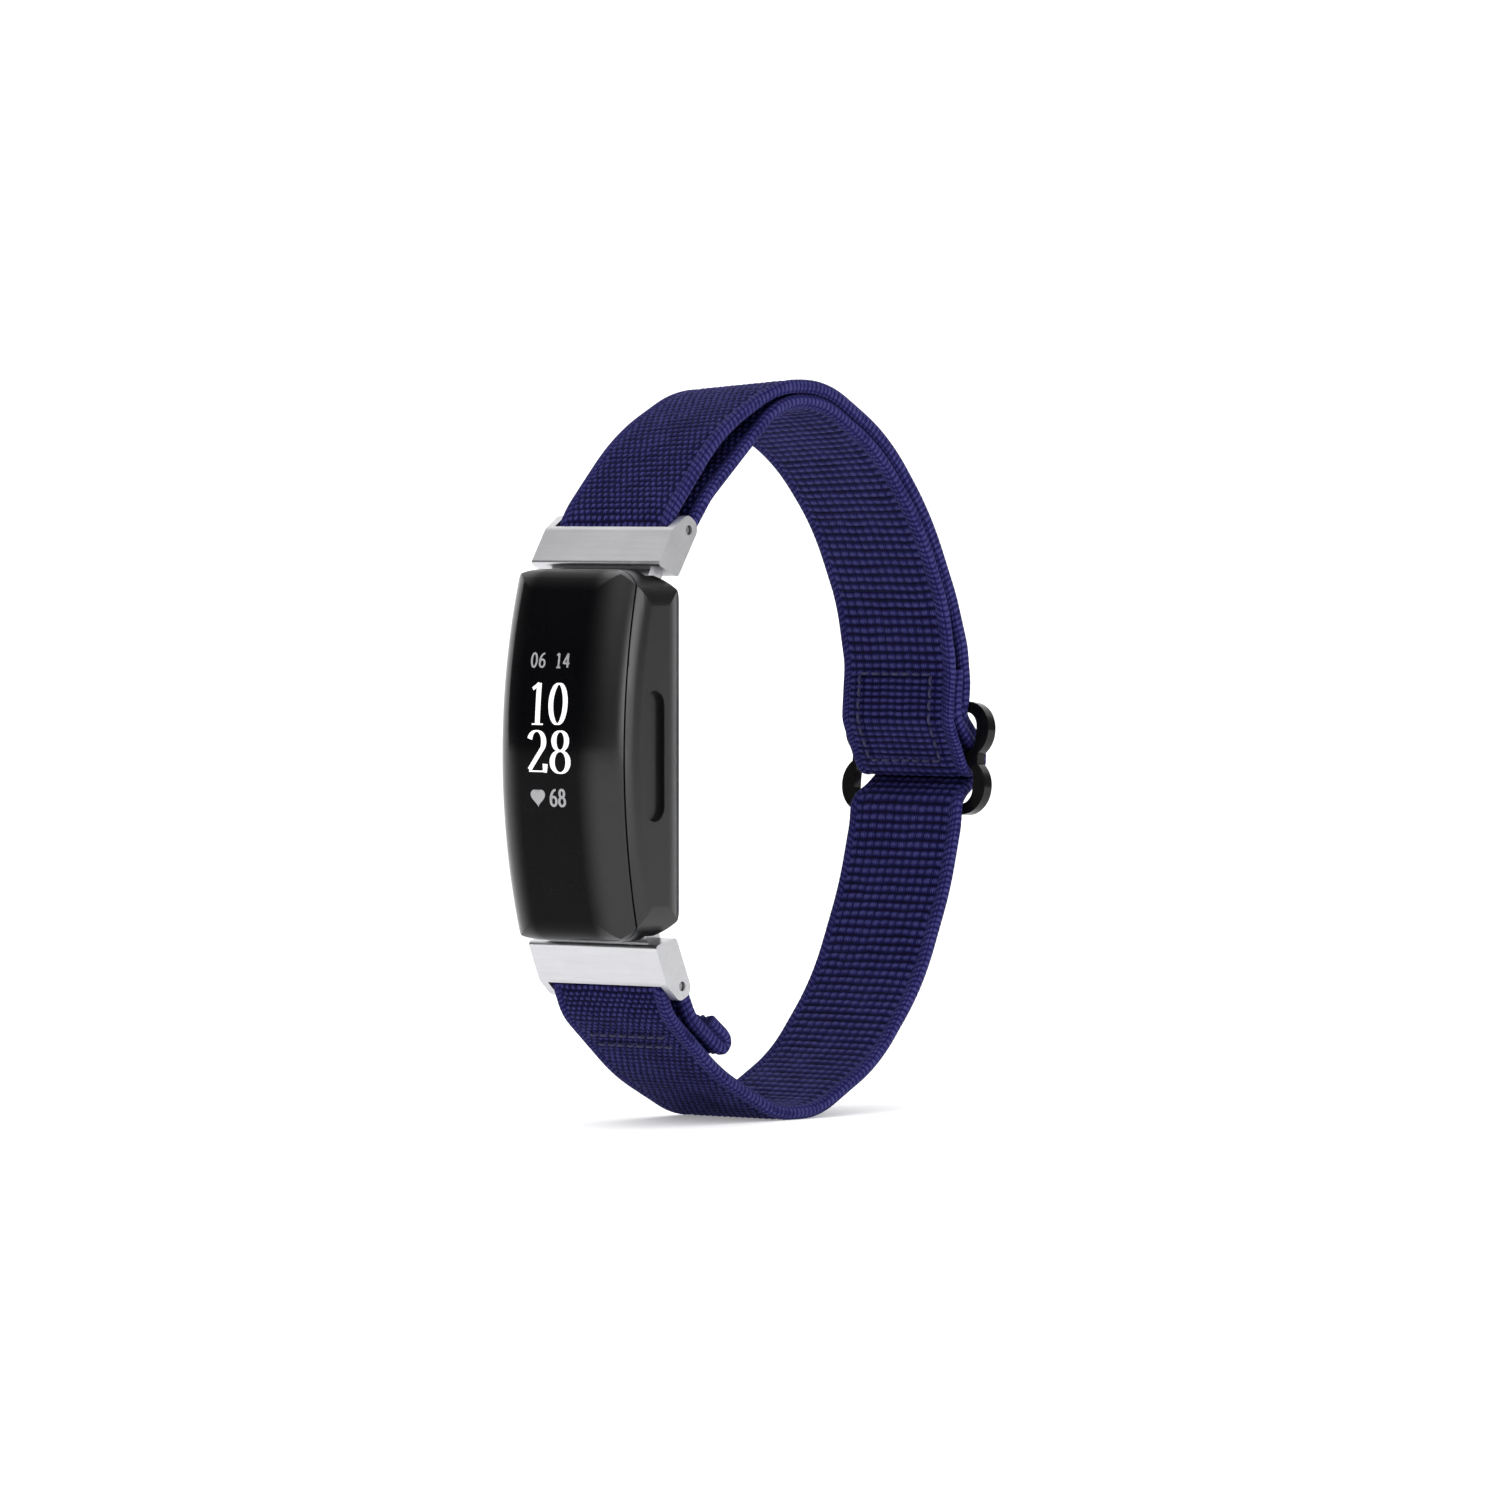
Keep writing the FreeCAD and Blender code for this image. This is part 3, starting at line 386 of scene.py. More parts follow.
def by_pin(pivot, pin, side):
    """Points by a pin: along the connector from its pivot, and towards its front face."""
    reach = math.hypot(pin.y - pivot.y, pin.z - pivot.z)
    along = ((pin.y - pivot.y) / reach, (pin.z - pivot.z) / reach)
    front = (-along[1] * side, along[0] * side)

    def place(distance, out):
        return (
            pin.y + along[0] * distance + front[0] * out,
            pin.z + along[1] * distance + front[1] * out,
        )

    return place


def wrap(place, radius, first, last, count):
    """Corners whose roundings make one arc about a bar, between two angles in degrees."""
    step = (last - first) / count
    reach = radius / math.cos(math.radians(step / 2))
    angles = [math.radians(first + step * (index + 0.5)) for index in range(count)]
    return [(*place(reach * math.cos(angle), reach * math.sin(angle)), radius) for angle in angles]


def inside_of(corners, distance):
    """The inner ply: the corners moved inwards, with their bends made smaller to match."""
    moved = []
    points = [np.array(corner[:2]) for corner in corners]
    for before, here, after, corner in zip(points, points[1:], points[2:], corners[1:]):
        first = (here - before) / np.linalg.norm(here - before)
        second = (after - here) / np.linalg.norm(after - here)
        normals = np.array([first[1] + second[1], -first[0] - second[0]])
        point = here + normals * distance / (1 + first @ second)
        moved.append((point[0], point[1], max(SMALLEST_BEND_MM, corner[2] - distance)))
    return moved


def band_corners():
    """Corners of the band's centre line, from the sewn tail to the hem: (y, z, radius) in mm."""
    upper = by_pin(UPPER_PIVOT, UPPER_PIN, 1)
    lower = by_pin(LOWER_PIVOT, LOWER_PIN, -1)
    bend = PIN_BEND_MM
    slope = math.radians(FOLD_FROM)
    crest_reach, depth, tail_depth, inner_depth = 2.59, 1.45, 2.65, 3.85
    weave_turn = (crest_reach + depth * math.sin(slope)) / math.cos(slope)
    tail_turn = (FOLD_MM + tail_depth * math.sin(slope)) / math.cos(slope)
    leave = math.radians(FOLD_TO)
    inner_turn = (FOLD_MM + inner_depth * math.sin(leave)) / math.cos(leave)
    route = {
        "pin_outer": (*upper(-bend, bend), bend),
        "shoulder": (-19.2, 61.6, 9.0),
        "rise": (-12.1, 69.1, 24.0),
        "apex_front": (-3.0, 73.55, 13.5),
        "apex_back": (4.3, 73.55, 13.5),
        "fall": (14.0, 68.3, 24.0),
        "back_high": (20.7, 60.8, 30.0),
        "back_low": (24.8, 52.5, 20.0),
        "slack": (26.6, 47.4, 6.0),
    }
    inner = inside_of([*route.values(), (*on_back(7.2, -depth), 0)], PLY_PITCH_MM)
    corners = {
        "tail_end": (*on_back(8.9, -tail_depth - 0.1), 0.0),
        "tail_turn": (*on_back(tail_turn, -tail_depth), 1.6),
    }
    corners.update(zip(("fold_top", "fold_bottom"), wrap(on_back, FOLD_MM, FOLD_FROM, FOLD_TO, 2)))
    corners["fold_leave"] = (*on_back(inner_turn, -inner_depth), 1.5)
    corners["inner_buckle"] = (*on_back(9.4, -inner_depth - 0.15), 5.0)
    names = ["inner_low", "inner_high", "inner_fall", "inner_apex_back", "inner_apex_front"]
    corners.update(zip(names, inner[6:1:-1]))
    corners["throat"] = (-14.1, 62.9, 8.0)
    corners["pin_inner"] = (*upper(-bend, -bend), bend)
    corners.update(route)
    corners["buckle_top"] = (*on_back(7.6, -depth), 3.0)
    corners["weave_top"] = (*on_back(weave_turn, -depth), 1.2)
    corners["crest"] = (*on_back(0.0, crest_reach / math.sin(slope)), crest_reach)
    corners["weave_bottom"] = (*on_back(-weave_turn, -depth), 1.2)
    corners["buckle_bottom"] = (*on_back(-7.2, -depth), 5.0)
    corners["drop"] = (23.8, 22.6, 32.0)
    corners["sweep"] = (19.4, 12.9, 26.0)
    corners["under_back"] = (12.5, 5.4, 18.0)
    corners["nadir_back"] = (3.1, 0.675, 11.0)
    corners["nadir_front"] = (-3.2, 0.675, 11.0)
    corners["under_front"] = (-12.3, 5.0, 24.0)
    corners["heel"] = (-20.0, 11.2, 4.5)
    corners["lower_outer"] = (*lower(-bend, bend), bend)
    corners["lower_inner"] = (*lower(-bend, -bend), bend)
    corners["elbow"] = (-16.6, 10.9, 3.5)
    hem = np.array([-12.2, 7.75])
    downhill = hem - np.array(corners["elbow"][:2])
    downhill /= np.linalg.norm(downhill)
    inward = np.array([-downhill[1], downhill[0]])
    near = hem + downhill * 0.68
    far = near + inward * (2 * HEM_BEND_MM)
    corners["hem_near"] = (*near, HEM_BEND_MM)
    corners["hem_far"] = (*far, HEM_BEND_MM)
    corners["hem_end"] = (*(far - downhill * 3.4), 0.0)
    return corners


STEP_MM = 0.20
ARC_STEP_MM = 0.05
FEWEST_ARC_STEPS = 4
# A rounding takes less than half of the run before it.
MOST_OF_A_RUN = 0.499
# How far the route is smoothed each way, in stations.
SMOOTH_REACH = 5
SMOOTH_SPREAD = 1.8


def trace(corners):
    """Even stations along the rounded corners; also where each named corner falls."""
    points = np.array([corner[:2] for corner in corners.values()])
    radii = [corner[2] for corner in corners.values()]
    dense = [points[0]]
    marks = [0]
    for index in range(1, len(points) - 1):
        first = points[index] - points[index - 1]
        second = points[index + 1] - points[index]
        first_length = np.linalg.norm(first)
        first, second = first / first_length, second / np.linalg.norm(second)
        turn = math.atan2(first[0] * second[1] - first[1] * second[0], first @ second)
        reach = min(radii[index] * math.tan(abs(turn) / 2), MOST_OF_A_RUN * first_length)
        radius = reach / math.tan(abs(turn) / 2)
        start = points[index] - first * reach
        side = math.copysign(1.0, turn)
        centre = start + np.array([-first[1], first[0]]) * radius * side
        steps = max(FEWEST_ARC_STEPS, int(abs(turn) * radius / ARC_STEP_MM))
        begin = math.atan2(*(start - centre)[::-1])
        marks.append(len(dense) + steps // 2)
        for angle in begin + turn * np.linspace(0, 1, steps + 1):
            dense.append(centre + radius * np.array([math.cos(angle), math.sin(angle)]))
    dense.append(points[-1])
    marks.append(len(dense) - 1)
    dense = np.array(dense)
    length = np.concatenate([[0.0], np.cumsum(np.linalg.norm(np.diff(dense, axis=0), axis=1))])
    count = int(length[-1] / STEP_MM)
    stations = np.linspace(0.0, length[-1], count + 1)
    route = np.stack([np.interp(stations, length, dense[:, axis]) for axis in (0, 1)], axis=1)
    kernel = np.exp(-0.5 * (np.arange(-SMOOTH_REACH, SMOOTH_REACH + 1) / SMOOTH_SPREAD) ** 2)
    kernel /= kernel.sum()
    margin = ((SMOOTH_REACH, SMOOTH_REACH), (0, 0))
    padded = np.pad(route, margin, mode="reflect", reflect_type="odd")
    route = np.stack([np.convolve(padded[:, axis], kernel, "valid") for axis in (0, 1)], axis=1)
    named = {name: int(round(length[mark] / length[-1] * count)) for name, mark in zip(corners, marks)}
    return route, stations, named


ROUTE, STATIONS, MARKS = trace(band_corners())
TANGENT = np.gradient(ROUTE, axis=0)
TANGENT /= np.linalg.norm(TANGENT, axis=1)[:, None]
LEFT = np.stack([-TANGENT[:, 1], TANGENT[:, 0]], axis=1)


def between(first, second, share):
    """The station at a share of the way from one named corner to another."""
    return int(round(MARKS[first] + (MARKS[second] - MARKS[first]) * share))


def soft_step(value, low, high):
    x = np.clip((value - low) / (high - low), 0.0, 1.0)
    return x * x * (3 - 2 * x)


EASE_MM = 1.5


def along_profile(default, changes):
    """A value for each station that eases between stretches given as (first, last, value)."""
    profile = np.full(len(STATIONS), default)
    for first, last, value in changes:
        rise = soft_step(STATIONS, STATIONS[first] - EASE_MM, STATIONS[first] + EASE_MM)
        drop = 1 - soft_step(STATIONS, STATIONS[last] - EASE_MM, STATIONS[last] + EASE_MM)
        share = rise * drop
        profile = profile * (1 - share) + value * share
    return profile


THICKNESS = along_profile(
    PLY_MM,
    [
        (0, MARKS["inner_buckle"], SEWN_PLY_MM),
        (MARKS["weave_top"], MARKS["weave_bottom"], IN_BUCKLE_PLY_MM),
    ],
)
THICKNESS[: MARKS["fold_leave"]] = SEWN_PLY_MM
WIDTH = along_profile(
    BAND_WIDTH_MM,
    [
        (MARKS["fold_top"] + 3, MARKS["fold_bottom"] - 5, IN_SLOT_MM),
        (MARKS["weave_top"], MARKS["weave_bottom"] - 4, IN_SLOT_MM),
    ],
)


def outward_profile():
    """1 where the left face looks away from the wrist, 0 where it looks at the wrist."""
    facing = np.zeros(len(STATIONS))
    facing[MARKS["pin_inner"] : MARKS["lower_outer"]] = 1.0
    facing[: MARKS["fold_top"]] = 1.0
    return facing


OUTWARD = outward_profile()


def weave_phase():
    """Distance along the band counted in weave: the rows crowd together where the band is sewn."""
    density = along_profile(
        1.0,
        [
            (MARKS["fold_bottom"], MARKS["inner_buckle"] - 6, 1.42),
            (between("under_front", "heel", 0.45), MARKS["lower_outer"], 1.3),
        ],
    )
    return np.concatenate([[0.0], np.cumsum((density[1:] + density[:-1]) / 2) * STEP_MM])


PHASE = weave_phase()


def weave_height(across, along, fine):
    """The woven relief of one face: 0 in the gaps, 1 on the yarns."""
    row = np.floor(along / FINE_ROW_MM)
    dash = np.abs(np.sin(across * math.pi / FINE_COLUMN_MM + (row % 2) * math.pi / 2)) ** DASH_POWER
    small = dash * np.abs(np.sin(along * math.pi / FINE_ROW_MM)) ** FINE_ROW_POWER
    column = np.abs(np.sin(across * math.pi / COARSE_COLUMN_MM)) ** COLUMN_POWER
    column = 1 - COLUMN_SHARE + COLUMN_SHARE * column
    large = column * np.abs(np.sin(along * math.pi / COARSE_ROW_MM)) ** COARSE_ROW_POWER
    body = np.where(fine > 0.5, small, large)
    slant = along + RIB_SLANT * np.abs(across)
    ribs = 0.50 + 0.28 * np.abs(np.sin(slant * math.pi / RIB_MM)) ** RIB_POWER
    edge = np.clip((np.abs(across) - SELVEDGE_MM) * SELVEDGE_RAMP, 0, 1)
    return body * (1 - edge) + ribs * edge


FACE_COUNT = 56
EDGE_COUNT = 6
RELIEF_MM = 0.30
RELIEF_MIDDLE = 0.75
# A groove runs beside each selvedge, whose edge is rolled up a little and ribbed.
GROOVE_MM = 0.14
GROOVE_WIDTH_MM = 0.28
ROLL_MM = 0.05
EDGE_RIB_MM = 0.04
EDGE_LIFT_MM = 0.08
# How far the band leans sideways over the top, and the heights between which it starts to.
LEAN = 0.07
LEAN_FROM_MM = 58.0
LEAN_TO_MM = 73.0


def section_points():
    """The band's section as (share of half width, share of half thickness, face side)."""
    places = []
    for side in (1, -1):
        for share in np.linspace(-1, 1, FACE_COUNT) * side:
            places.append((share, float(side), float(side)))
        for angle in np.linspace(0, math.pi, EDGE_COUNT + 2)[1:-1]:
            places.append((side * (1 + math.sin(angle) * 1e-3), math.cos(angle) * side, 0.0))
    return places


def band_twist(route):
    """How far the band leans sideways: its near edge rides a little higher over the top."""
    return LEAN * soft_step(route[:, 1], LEAN_FROM_MM, LEAN_TO_MM)


def band_grid(first, last):
    """Points of the band between two stations, and each point's place in the weave."""
    rows = np.arange(first, last + 1)
    route, left = ROUTE[rows], LEFT[rows]
    thick, width, along = THICKNESS[rows] / 2, WIDTH[rows] / 2, PHASE[rows]
    outward = OUTWARD[rows]
    twist = band_twist(route)
    columns, places = [], []
    for share, lift, side in section_points():
        flat = width - thick
        if side:
            across = share * flat
            fine = outward if side > 0 else 1 - outward
            relief = RELIEF_MM * (weave_height(across, along, fine) - RELIEF_MIDDLE)
            rim = np.abs(across) / width
            groove = -GROOVE_MM * np.exp(-(((np.abs(across) - SELVEDGE_MM) / GROOVE_WIDTH_MM) ** 2))
            roll = ROLL_MM * soft_step(rim, 0.84, 0.92)
            height = side * (thick + relief + groove + roll)
        else:
            edge_side = math.copysign(1.0, share)
            bulge = math.sqrt(max(0.0, 1 - lift * lift))
            slant = along + RIB_SLANT * flat
            ribs = EDGE_RIB_MM * np.abs(np.sin(slant * math.pi / RIB_MM)) ** RIB_POWER
            across = edge_side * (flat + (thick + ribs) * bulge)
            height = lift * (thick + EDGE_LIFT_MM)
            fine = outward
        y = route[:, 0] + left[:, 0] * height
        z = route[:, 1] + left[:, 1] * height + twist * across
        x = np.broadcast_to(across, y.shape)
        columns.append(np.stack([x, y, z], axis=1))
        kind = np.broadcast_to(fine, y.shape).astype(float)
        places.append(np.stack([x, along, kind], axis=1))
    return np.stack(columns, axis=1), np.stack(places, axis=1)


def make_mesh(name, points, faces, flat_faces=()):
    mesh = bpy.data.meshes.new(name)
    mesh.from_pydata(points, [], faces)
    smooth = np.ones(len(faces), bool)
    smooth[list(flat_faces)] = False
    mesh.polygons.foreach_set("use_smooth", smooth)
    mesh.update()
    piece = bpy.data.objects.new(name, mesh)
    bpy.context.scene.collection.objects.link(piece)
    return piece


def joined(shapes):
    """One list of vertices and one of faces, from several (vertices, faces) shapes."""
    vertices, faces = [], []
    for points, polygons in shapes:
        start = len(vertices)
        vertices.extend(points)
        faces.extend(tuple(start + corner for corner in polygon) for polygon in polygons)
    return vertices, faces


def band_piece(name, first, last):
    """One closed stretch of the woven band between two stations."""
    grid, places = band_grid(first, last)
    rows, columns = grid.shape[:2]
    index = np.arange(rows * columns).reshape(rows, columns)
    following = np.roll(index, -1, axis=1)
    quads = np.stack([index[:-1], index[1:], following[1:], following[:-1]], axis=-1).reshape(-1, 4)
    faces = quads.tolist() + [index[0].tolist(), index[-1][::-1].tolist()]
    piece = make_mesh(name, (grid.reshape(-1, 3) * MM).tolist(), faces, (len(faces) - 2, len(faces) - 1))
    attribute = piece.data.attributes.new("weave_place", "FLOAT_VECTOR", "POINT")
    attribute.data.foreach_set("vector", places.reshape(-1).astype(np.float32))
    piece.data.materials.append(MATERIALS["webbing"])
    return piece


def point(y_mm, z_mm):
    return (0.0, y_mm * MM, z_mm * MM)


def add_band():
    """The webbing, in stretches that each hide the CAD webbing nodes they stand for."""
    sewn_to = between("inner_low", "inner_high", 0.15)
    inner_to = between("inner_apex_front", "throat", 0.35)
    loop_to = between("shoulder", "rise", 0.62)
    outer_to = between("back_high", "back_low", 0.8)
    crest = MARKS["crest"]
    weave_to = between("buckle_bottom", "drop", 0.62)
    bottom_to = between("under_front", "heel", 0.35)
    end = len(STATIONS) - 1
    parts = [
        ("band_sewn_end", 0, sewn_to, "buckle", "back_band", (24.5, 46.0), (23.8, 52.0)),
        ("band_inner_ply", sewn_to, inner_to, "back_band", "tracker", (16.0, 60.0), (-8.0, 60.0)),
        ("band_upper_loop", inner_to, loop_to, "upper_end", "tracker", (-19.0, 60.0), (-13.8, 66.0)),
        ("band_outer_ply", loop_to, outer_to, "tracker", "back_band", (-8.0, 60.0), (16.0, 60.0)),
        ("band_weave_upper", outer_to, crest, "back_band", "buckle", (26.0, 52.0), (27.5, 44.5)),
        ("band_weave_lower", crest, weave_to, "buckle", "back_band", (26.0, 29.0), (25.0, 25.0)),
        ("band_bottom", weave_to, bottom_to, "back_band", "tracker", (16.0, 5.0), (-8.0, 5.0)),
        ("band_lower_loop", bottom_to, end, "lower_end", "tracker", (-19.5, 13.0), (-15.5, 7.5)),
    ]
    stands_for = {
        "band_sewn_end": ["webbing_sewn_end", "webbing_slack_inner"],
        "band_inner_ply": ["webbing_back_inner", "webbing_top_inner"],
        "band_upper_loop": ["webbing_upper_loop"],
        "band_outer_ply": ["webbing_top_outer", "webbing_back_outer"],
        "band_weave_upper": ["webbing_weave", "webbing_slack_outer"],
        "band_weave_lower": ["webbing_slack_lower"],
        "band_bottom": ["webbing_lower_back", "webbing_bottom"],
        "band_lower_loop": ["webbing_lower_loop", "webbing_tail_hem"],
    }
    for name, first, last, body_a, body_b, start, stop in parts:
        piece = band_piece(name, first, last)
        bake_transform(piece)
        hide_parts(*stands_for[name])


# ---------------------------------------------------------------- stitches


def surface_point(station, across, side, lift):
    """A point just over one face of the band, at a station that may lie between two rows."""
    rows = np.arange(len(STATIONS))
    y, z = (np.interp(station, rows, ROUTE[:, axis]) for axis in (0, 1))
    left = np.array([np.interp(station, rows, LEFT[:, axis]) for axis in (0, 1)])
    height = side * (np.interp(station, rows, THICKNESS) / 2 + lift)
    lean = band_twist(np.array([[y, z]]))[0] * across
    return np.array([across, y + left[0] * height, z + left[1] * height + lean])


THREAD_SIDES = 8
THREAD_TAPER = 0.45
THREAD_RADIUS_MM = 0.15
# A direction that no stitch runs along, to turn each thread's section about.
ASIDE = (0.3, 0.5, 0.81)


def tube(points, radius):
    """A closed round thread through the points, tapered at both ends."""
    points = np.array(points)
    heading = np.gradient(points, axis=0)
    heading /= np.linalg.norm(heading, axis=1)[:, None]
    vertices = []
    sides = THREAD_SIDES
    last = len(points) - 1
    for index, (place, ahead) in enumerate(zip(points, heading)):
        first = np.cross(ahead, ASIDE)
        first /= np.linalg.norm(first)
        second = np.cross(ahead, first)
        taper = THREAD_TAPER if index in (0, last) else 1.0
        for turn in range(sides):
            angle = 2 * math.pi * turn / sides
            vertices.append(place + radius * taper * (first * math.cos(angle) + second * math.sin(angle)))
    faces = []
    for ring in range(last):
        for turn in range(sides):
            following = (turn + 1) % sides
            here, above = ring * sides, (ring + 1) * sides
            faces.append((here + turn, here + following, above + following, above + turn))
    faces.append(tuple(range(sides))[::-1])
    faces.append(tuple(last * sides + turn for turn in range(sides)))
    return vertices, faces


STITCH_LENGTH_MM = 0.95
STITCH_PITCH_MM = 1.22
STITCH_POINTS = 7
# A stitch lies this far over the cloth, is crowned in the middle and dips in at its ends.
STITCH_LIFT_MM = 0.05
STITCH_CROWN_MM = 0.17
STITCH_DIP_MM = 0.12


def stitch_line(first, second, side):
    """Stitches between two (station, across) ends on one face of the band."""
    first, second = np.array(first, float), np.array(second, float)
    scale = np.array([STEP_MM, 1.0])
    length = np.linalg.norm((second - first) * scale)
    count = max(1, int(length / STITCH_PITCH_MM))
    threads = []
    for index in range(count):
        middle = (index + 0.5) / count
        half = STITCH_LENGTH_MM / length / 2
        points = []
        for share in np.linspace(-1, 1, STITCH_POINTS):
            station, across = first + (second - first) * (middle + share * half)
            crown = STITCH_CROWN_MM * (1 - share * share)
            lift = STITCH_LIFT_MM + crown - STITCH_DIP_MM * share**6
            points.append(surface_point(station, across, side, lift))
        threads.append(tube(points, THREAD_RADIUS_MM))
    return threads


def thread_piece(name, threads):
    places, faces = joined(threads)
    vertices = [tuple(float(value) * MM for value in place) for place in places]
    piece = make_mesh(name, vertices, faces)
    piece.data.materials.append(MATERIALS["thread"])
    return piece


STITCHED_SIDE = 1
SEWN_HALF_WIDTH_MM = 4.7
HEM_HALF_WIDTH_MM = 5.0
# The hem's two rows, in stations from the first.
HEM_ROWS = (0, 8)


def add_stitches():
    """The box of stitches that closes the loop on the buckle, and the two rows that hold the hem."""
    top = MARKS["inner_buckle"] - 6
    foot = MARKS["fold_bottom"] + 9
    column = SEWN_HALF_WIDTH_MM
    lines = [
        ((top, -column), (top, column)),
        ((foot, -column), (foot, column)),
        ((foot, -column), (top, -column)),
        ((foot, column), (top, column)),
    ]
    threads = []
    for first, second in lines:
        threads += stitch_line(first, second, STITCHED_SIDE)
    piece = thread_piece("stitches_sewn_end", threads)
    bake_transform(piece)
    row = between("under_front", "heel", 0.60)
    threads = []
    reach = HEM_HALF_WIDTH_MM
    for offset in HEM_ROWS:
        threads += stitch_line((row + offset, -reach), (row + offset, reach), STITCHED_SIDE)
    piece = thread_piece("stitches_hem", threads)
    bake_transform(piece)


# ---------------------------------------------------------------- display


OVAL_STEP = 7
FEWEST_OVAL_STEPS = 10
STROKE_STEP = 0.12
PEN_CONTRAST = 1.6
# How far a figure's front and back stand over the lens.
PROUD_MM = (0.035, 0.015)
# A place well in front of the lens, from which it is found by looking along +Y.
LOOK_FROM_Y = -0.2
HEART_UNITS = 33
HEART_POINTS = 40


def oval(middle_x, middle_y, radius_x, radius_y, first=0.0, last=360.0):
    """Points of an oval, or of its arc between two angles in degrees."""
    count = max(FEWEST_OVAL_STEPS, int(abs(last - first) / OVAL_STEP))
    angles = np.radians(np.linspace(first, last, count + 1))
    return [(middle_x + radius_x * math.cos(a), middle_y + radius_y * math.sin(a)) for a in angles]


# Strokes of each figure in a box one unit wide and high.
FIGURES = {
    "0": [oval(0.5, 0.5, 0.40, 0.47)],
    "1": [[(0.56, 0.98), (0.56, 0.02)], [(0.56, 0.97), (0.22, 0.84)], [(0.25, 0.02), (0.87, 0.02)]],
    "2": [
        oval(0.48, 0.72, 0.36, 0.25, 165, -35) + [(0.12, 0.08)],
        [(0.10, 0.05), (0.90, 0.05), (0.92, 0.22)],
    ],
    "4": [[(0.70, 0.98), (0.04, 0.30), (0.98, 0.30)], [(0.70, 0.98), (0.70, 0.02)]],
    "6": [oval(0.86, 0.34, 0.76, 0.62, 180, 92), oval(0.5, 0.29, 0.39, 0.26)],
    "8": [oval(0.5, 0.75, 0.32, 0.22), oval(0.5, 0.27, 0.40, 0.25)],
}


def ribbon(points, thick, thin):
    """The outline of a pen stroke: upright strokes are thick and level ones thin."""
    points = np.array(points, float)
    heading = np.gradient(points, axis=0)
    heading /= np.linalg.norm(heading, axis=1)[:, None]
    widths = thin + (thick - thin) * np.abs(heading[:, 1]) ** PEN_CONTRAST
    side = np.stack([-heading[:, 1], heading[:, 0]], axis=1) * widths[:, None] / 2
    return np.concatenate([points + side, (points - side)[::-1]])


def on_lens(tree, x, z, proud):
    """A point over the lens's front, at x and z."""
    hit, _, _, _ = tree.ray_cast(Vector((x * MM, LOOK_FROM_Y, z * MM)), Vector((0, 1, 0)))
    return (x * MM, hit.y - proud * MM, z * MM)


def figure_slab(tree, outline):
    """A thin slab over the lens with the outline's shape: quads across a stroke."""
    half = len(outline) // 2
    pairs = [(outline[index], outline[-1 - index]) for index in range(half)]
    vertices, faces = [], []
    for near, far in pairs:
        for proud in PROUD_MM:
            vertices.append(on_lens(tree, *near, proud))
            vertices.append(on_lens(tree, *far, proud))
    for index in range(half - 1):
        a, b = index * 4, (index + 1) * 4
        faces += [(a, b, b + 1, a + 1), (a + 2, a + 3, b + 3, b + 2)]
        faces += [(a, a + 2, b + 2, b), (a + 1, b + 1, b + 3, a + 3)]
    a, b = 0, (half - 1) * 4
    faces += [(a, a + 1, a + 3, a + 2), (b, b + 2, b + 3, b + 1)]
    return vertices, faces


def dense_stroke(stroke):
    """The stroke's points with more between them, so that its slab follows the lens."""
    dense = []
    for (x0, y0), (x1, y1) in zip(stroke, stroke[1:]):
        steps = max(1, int(math.hypot(x1 - x0, y1 - y0) / STROKE_STEP))
        dense += [(x0 + (x1 - x0) * k / steps, y0 + (y1 - y0) * k / steps) for k in range(steps)]
    return [*dense, stroke[-1]]


def write_figures(tree, line):
    """Slabs for one line of figures, given as in TIME and READINGS."""
    text, across, up, width, height, thick, thin, gap = line
    slabs = []
    advance = width + gap
    left = TRACKER.x / MM + across - (len(text) * advance - gap) / 2
    middle_z = TRACKER.z / MM + up
    for index, letter in enumerate(text):
        for stroke in FIGURES.get(letter, []):
            points = [
                (left + index * advance + x * width, middle_z + (y - 0.5) * height)
                for x, y in dense_stroke(stroke)
            ]
            slabs.append(figure_slab(tree, ribbon(points, thick, thin)))
    return slabs


def heart_slab(tree, across, up, size):
    """A heart by the usual curve, which is about HEART_UNITS wide before it is scaled."""
    middle_x, middle_z = TRACKER.x / MM + across, TRACKER.z / MM + up
    points = []
    for angle in np.linspace(0, 2 * math.pi, HEART_POINTS + 1)[:-1]:
        x = 16 * math.sin(angle) ** 3
        y = 13 * math.cos(angle) - 5 * math.cos(2 * angle) - 2 * math.cos(3 * angle) - math.cos(4 * angle)
        points.append((middle_x + x * size / HEART_UNITS, middle_z + y * size / HEART_UNITS))
    half = len(points) // 2
    outline = [points[index] for index in range(0, half + 1)]
    mirror = [points[-index % len(points)] for index in range(0, half + 1)]
    return figure_slab(tree, np.array(outline + mirror[::-1]))


def display_piece(name, slabs, material):
    vertices, faces = joined(slabs)
    piece = make_mesh(name, vertices, faces, range(len(faces)))
    piece.data.materials.append(material)
    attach(piece, "tracker")


# Lines of figures: text, middle from the tracker's middle across and up, figure width and height,
# thick and thin strokes, and the gap between figures.
TIME = [
    ("10", -0.25, 5.2, 2.35, 4.25, 0.62, 0.15, 0.40),
    ("28", 0.05, 0.45, 2.60, 4.35, 0.66, 0.15, 0.45),
]
READINGS = [
    ("06 14", -0.30, 9.5, 0.82, 1.45, 0.22, 0.17, 0.24),
    ("68", 1.15, -4.1, 0.92, 1.70, 0.30, 0.22, 0.18),
]
HEART = (-1.45, -4.05, 1.95)


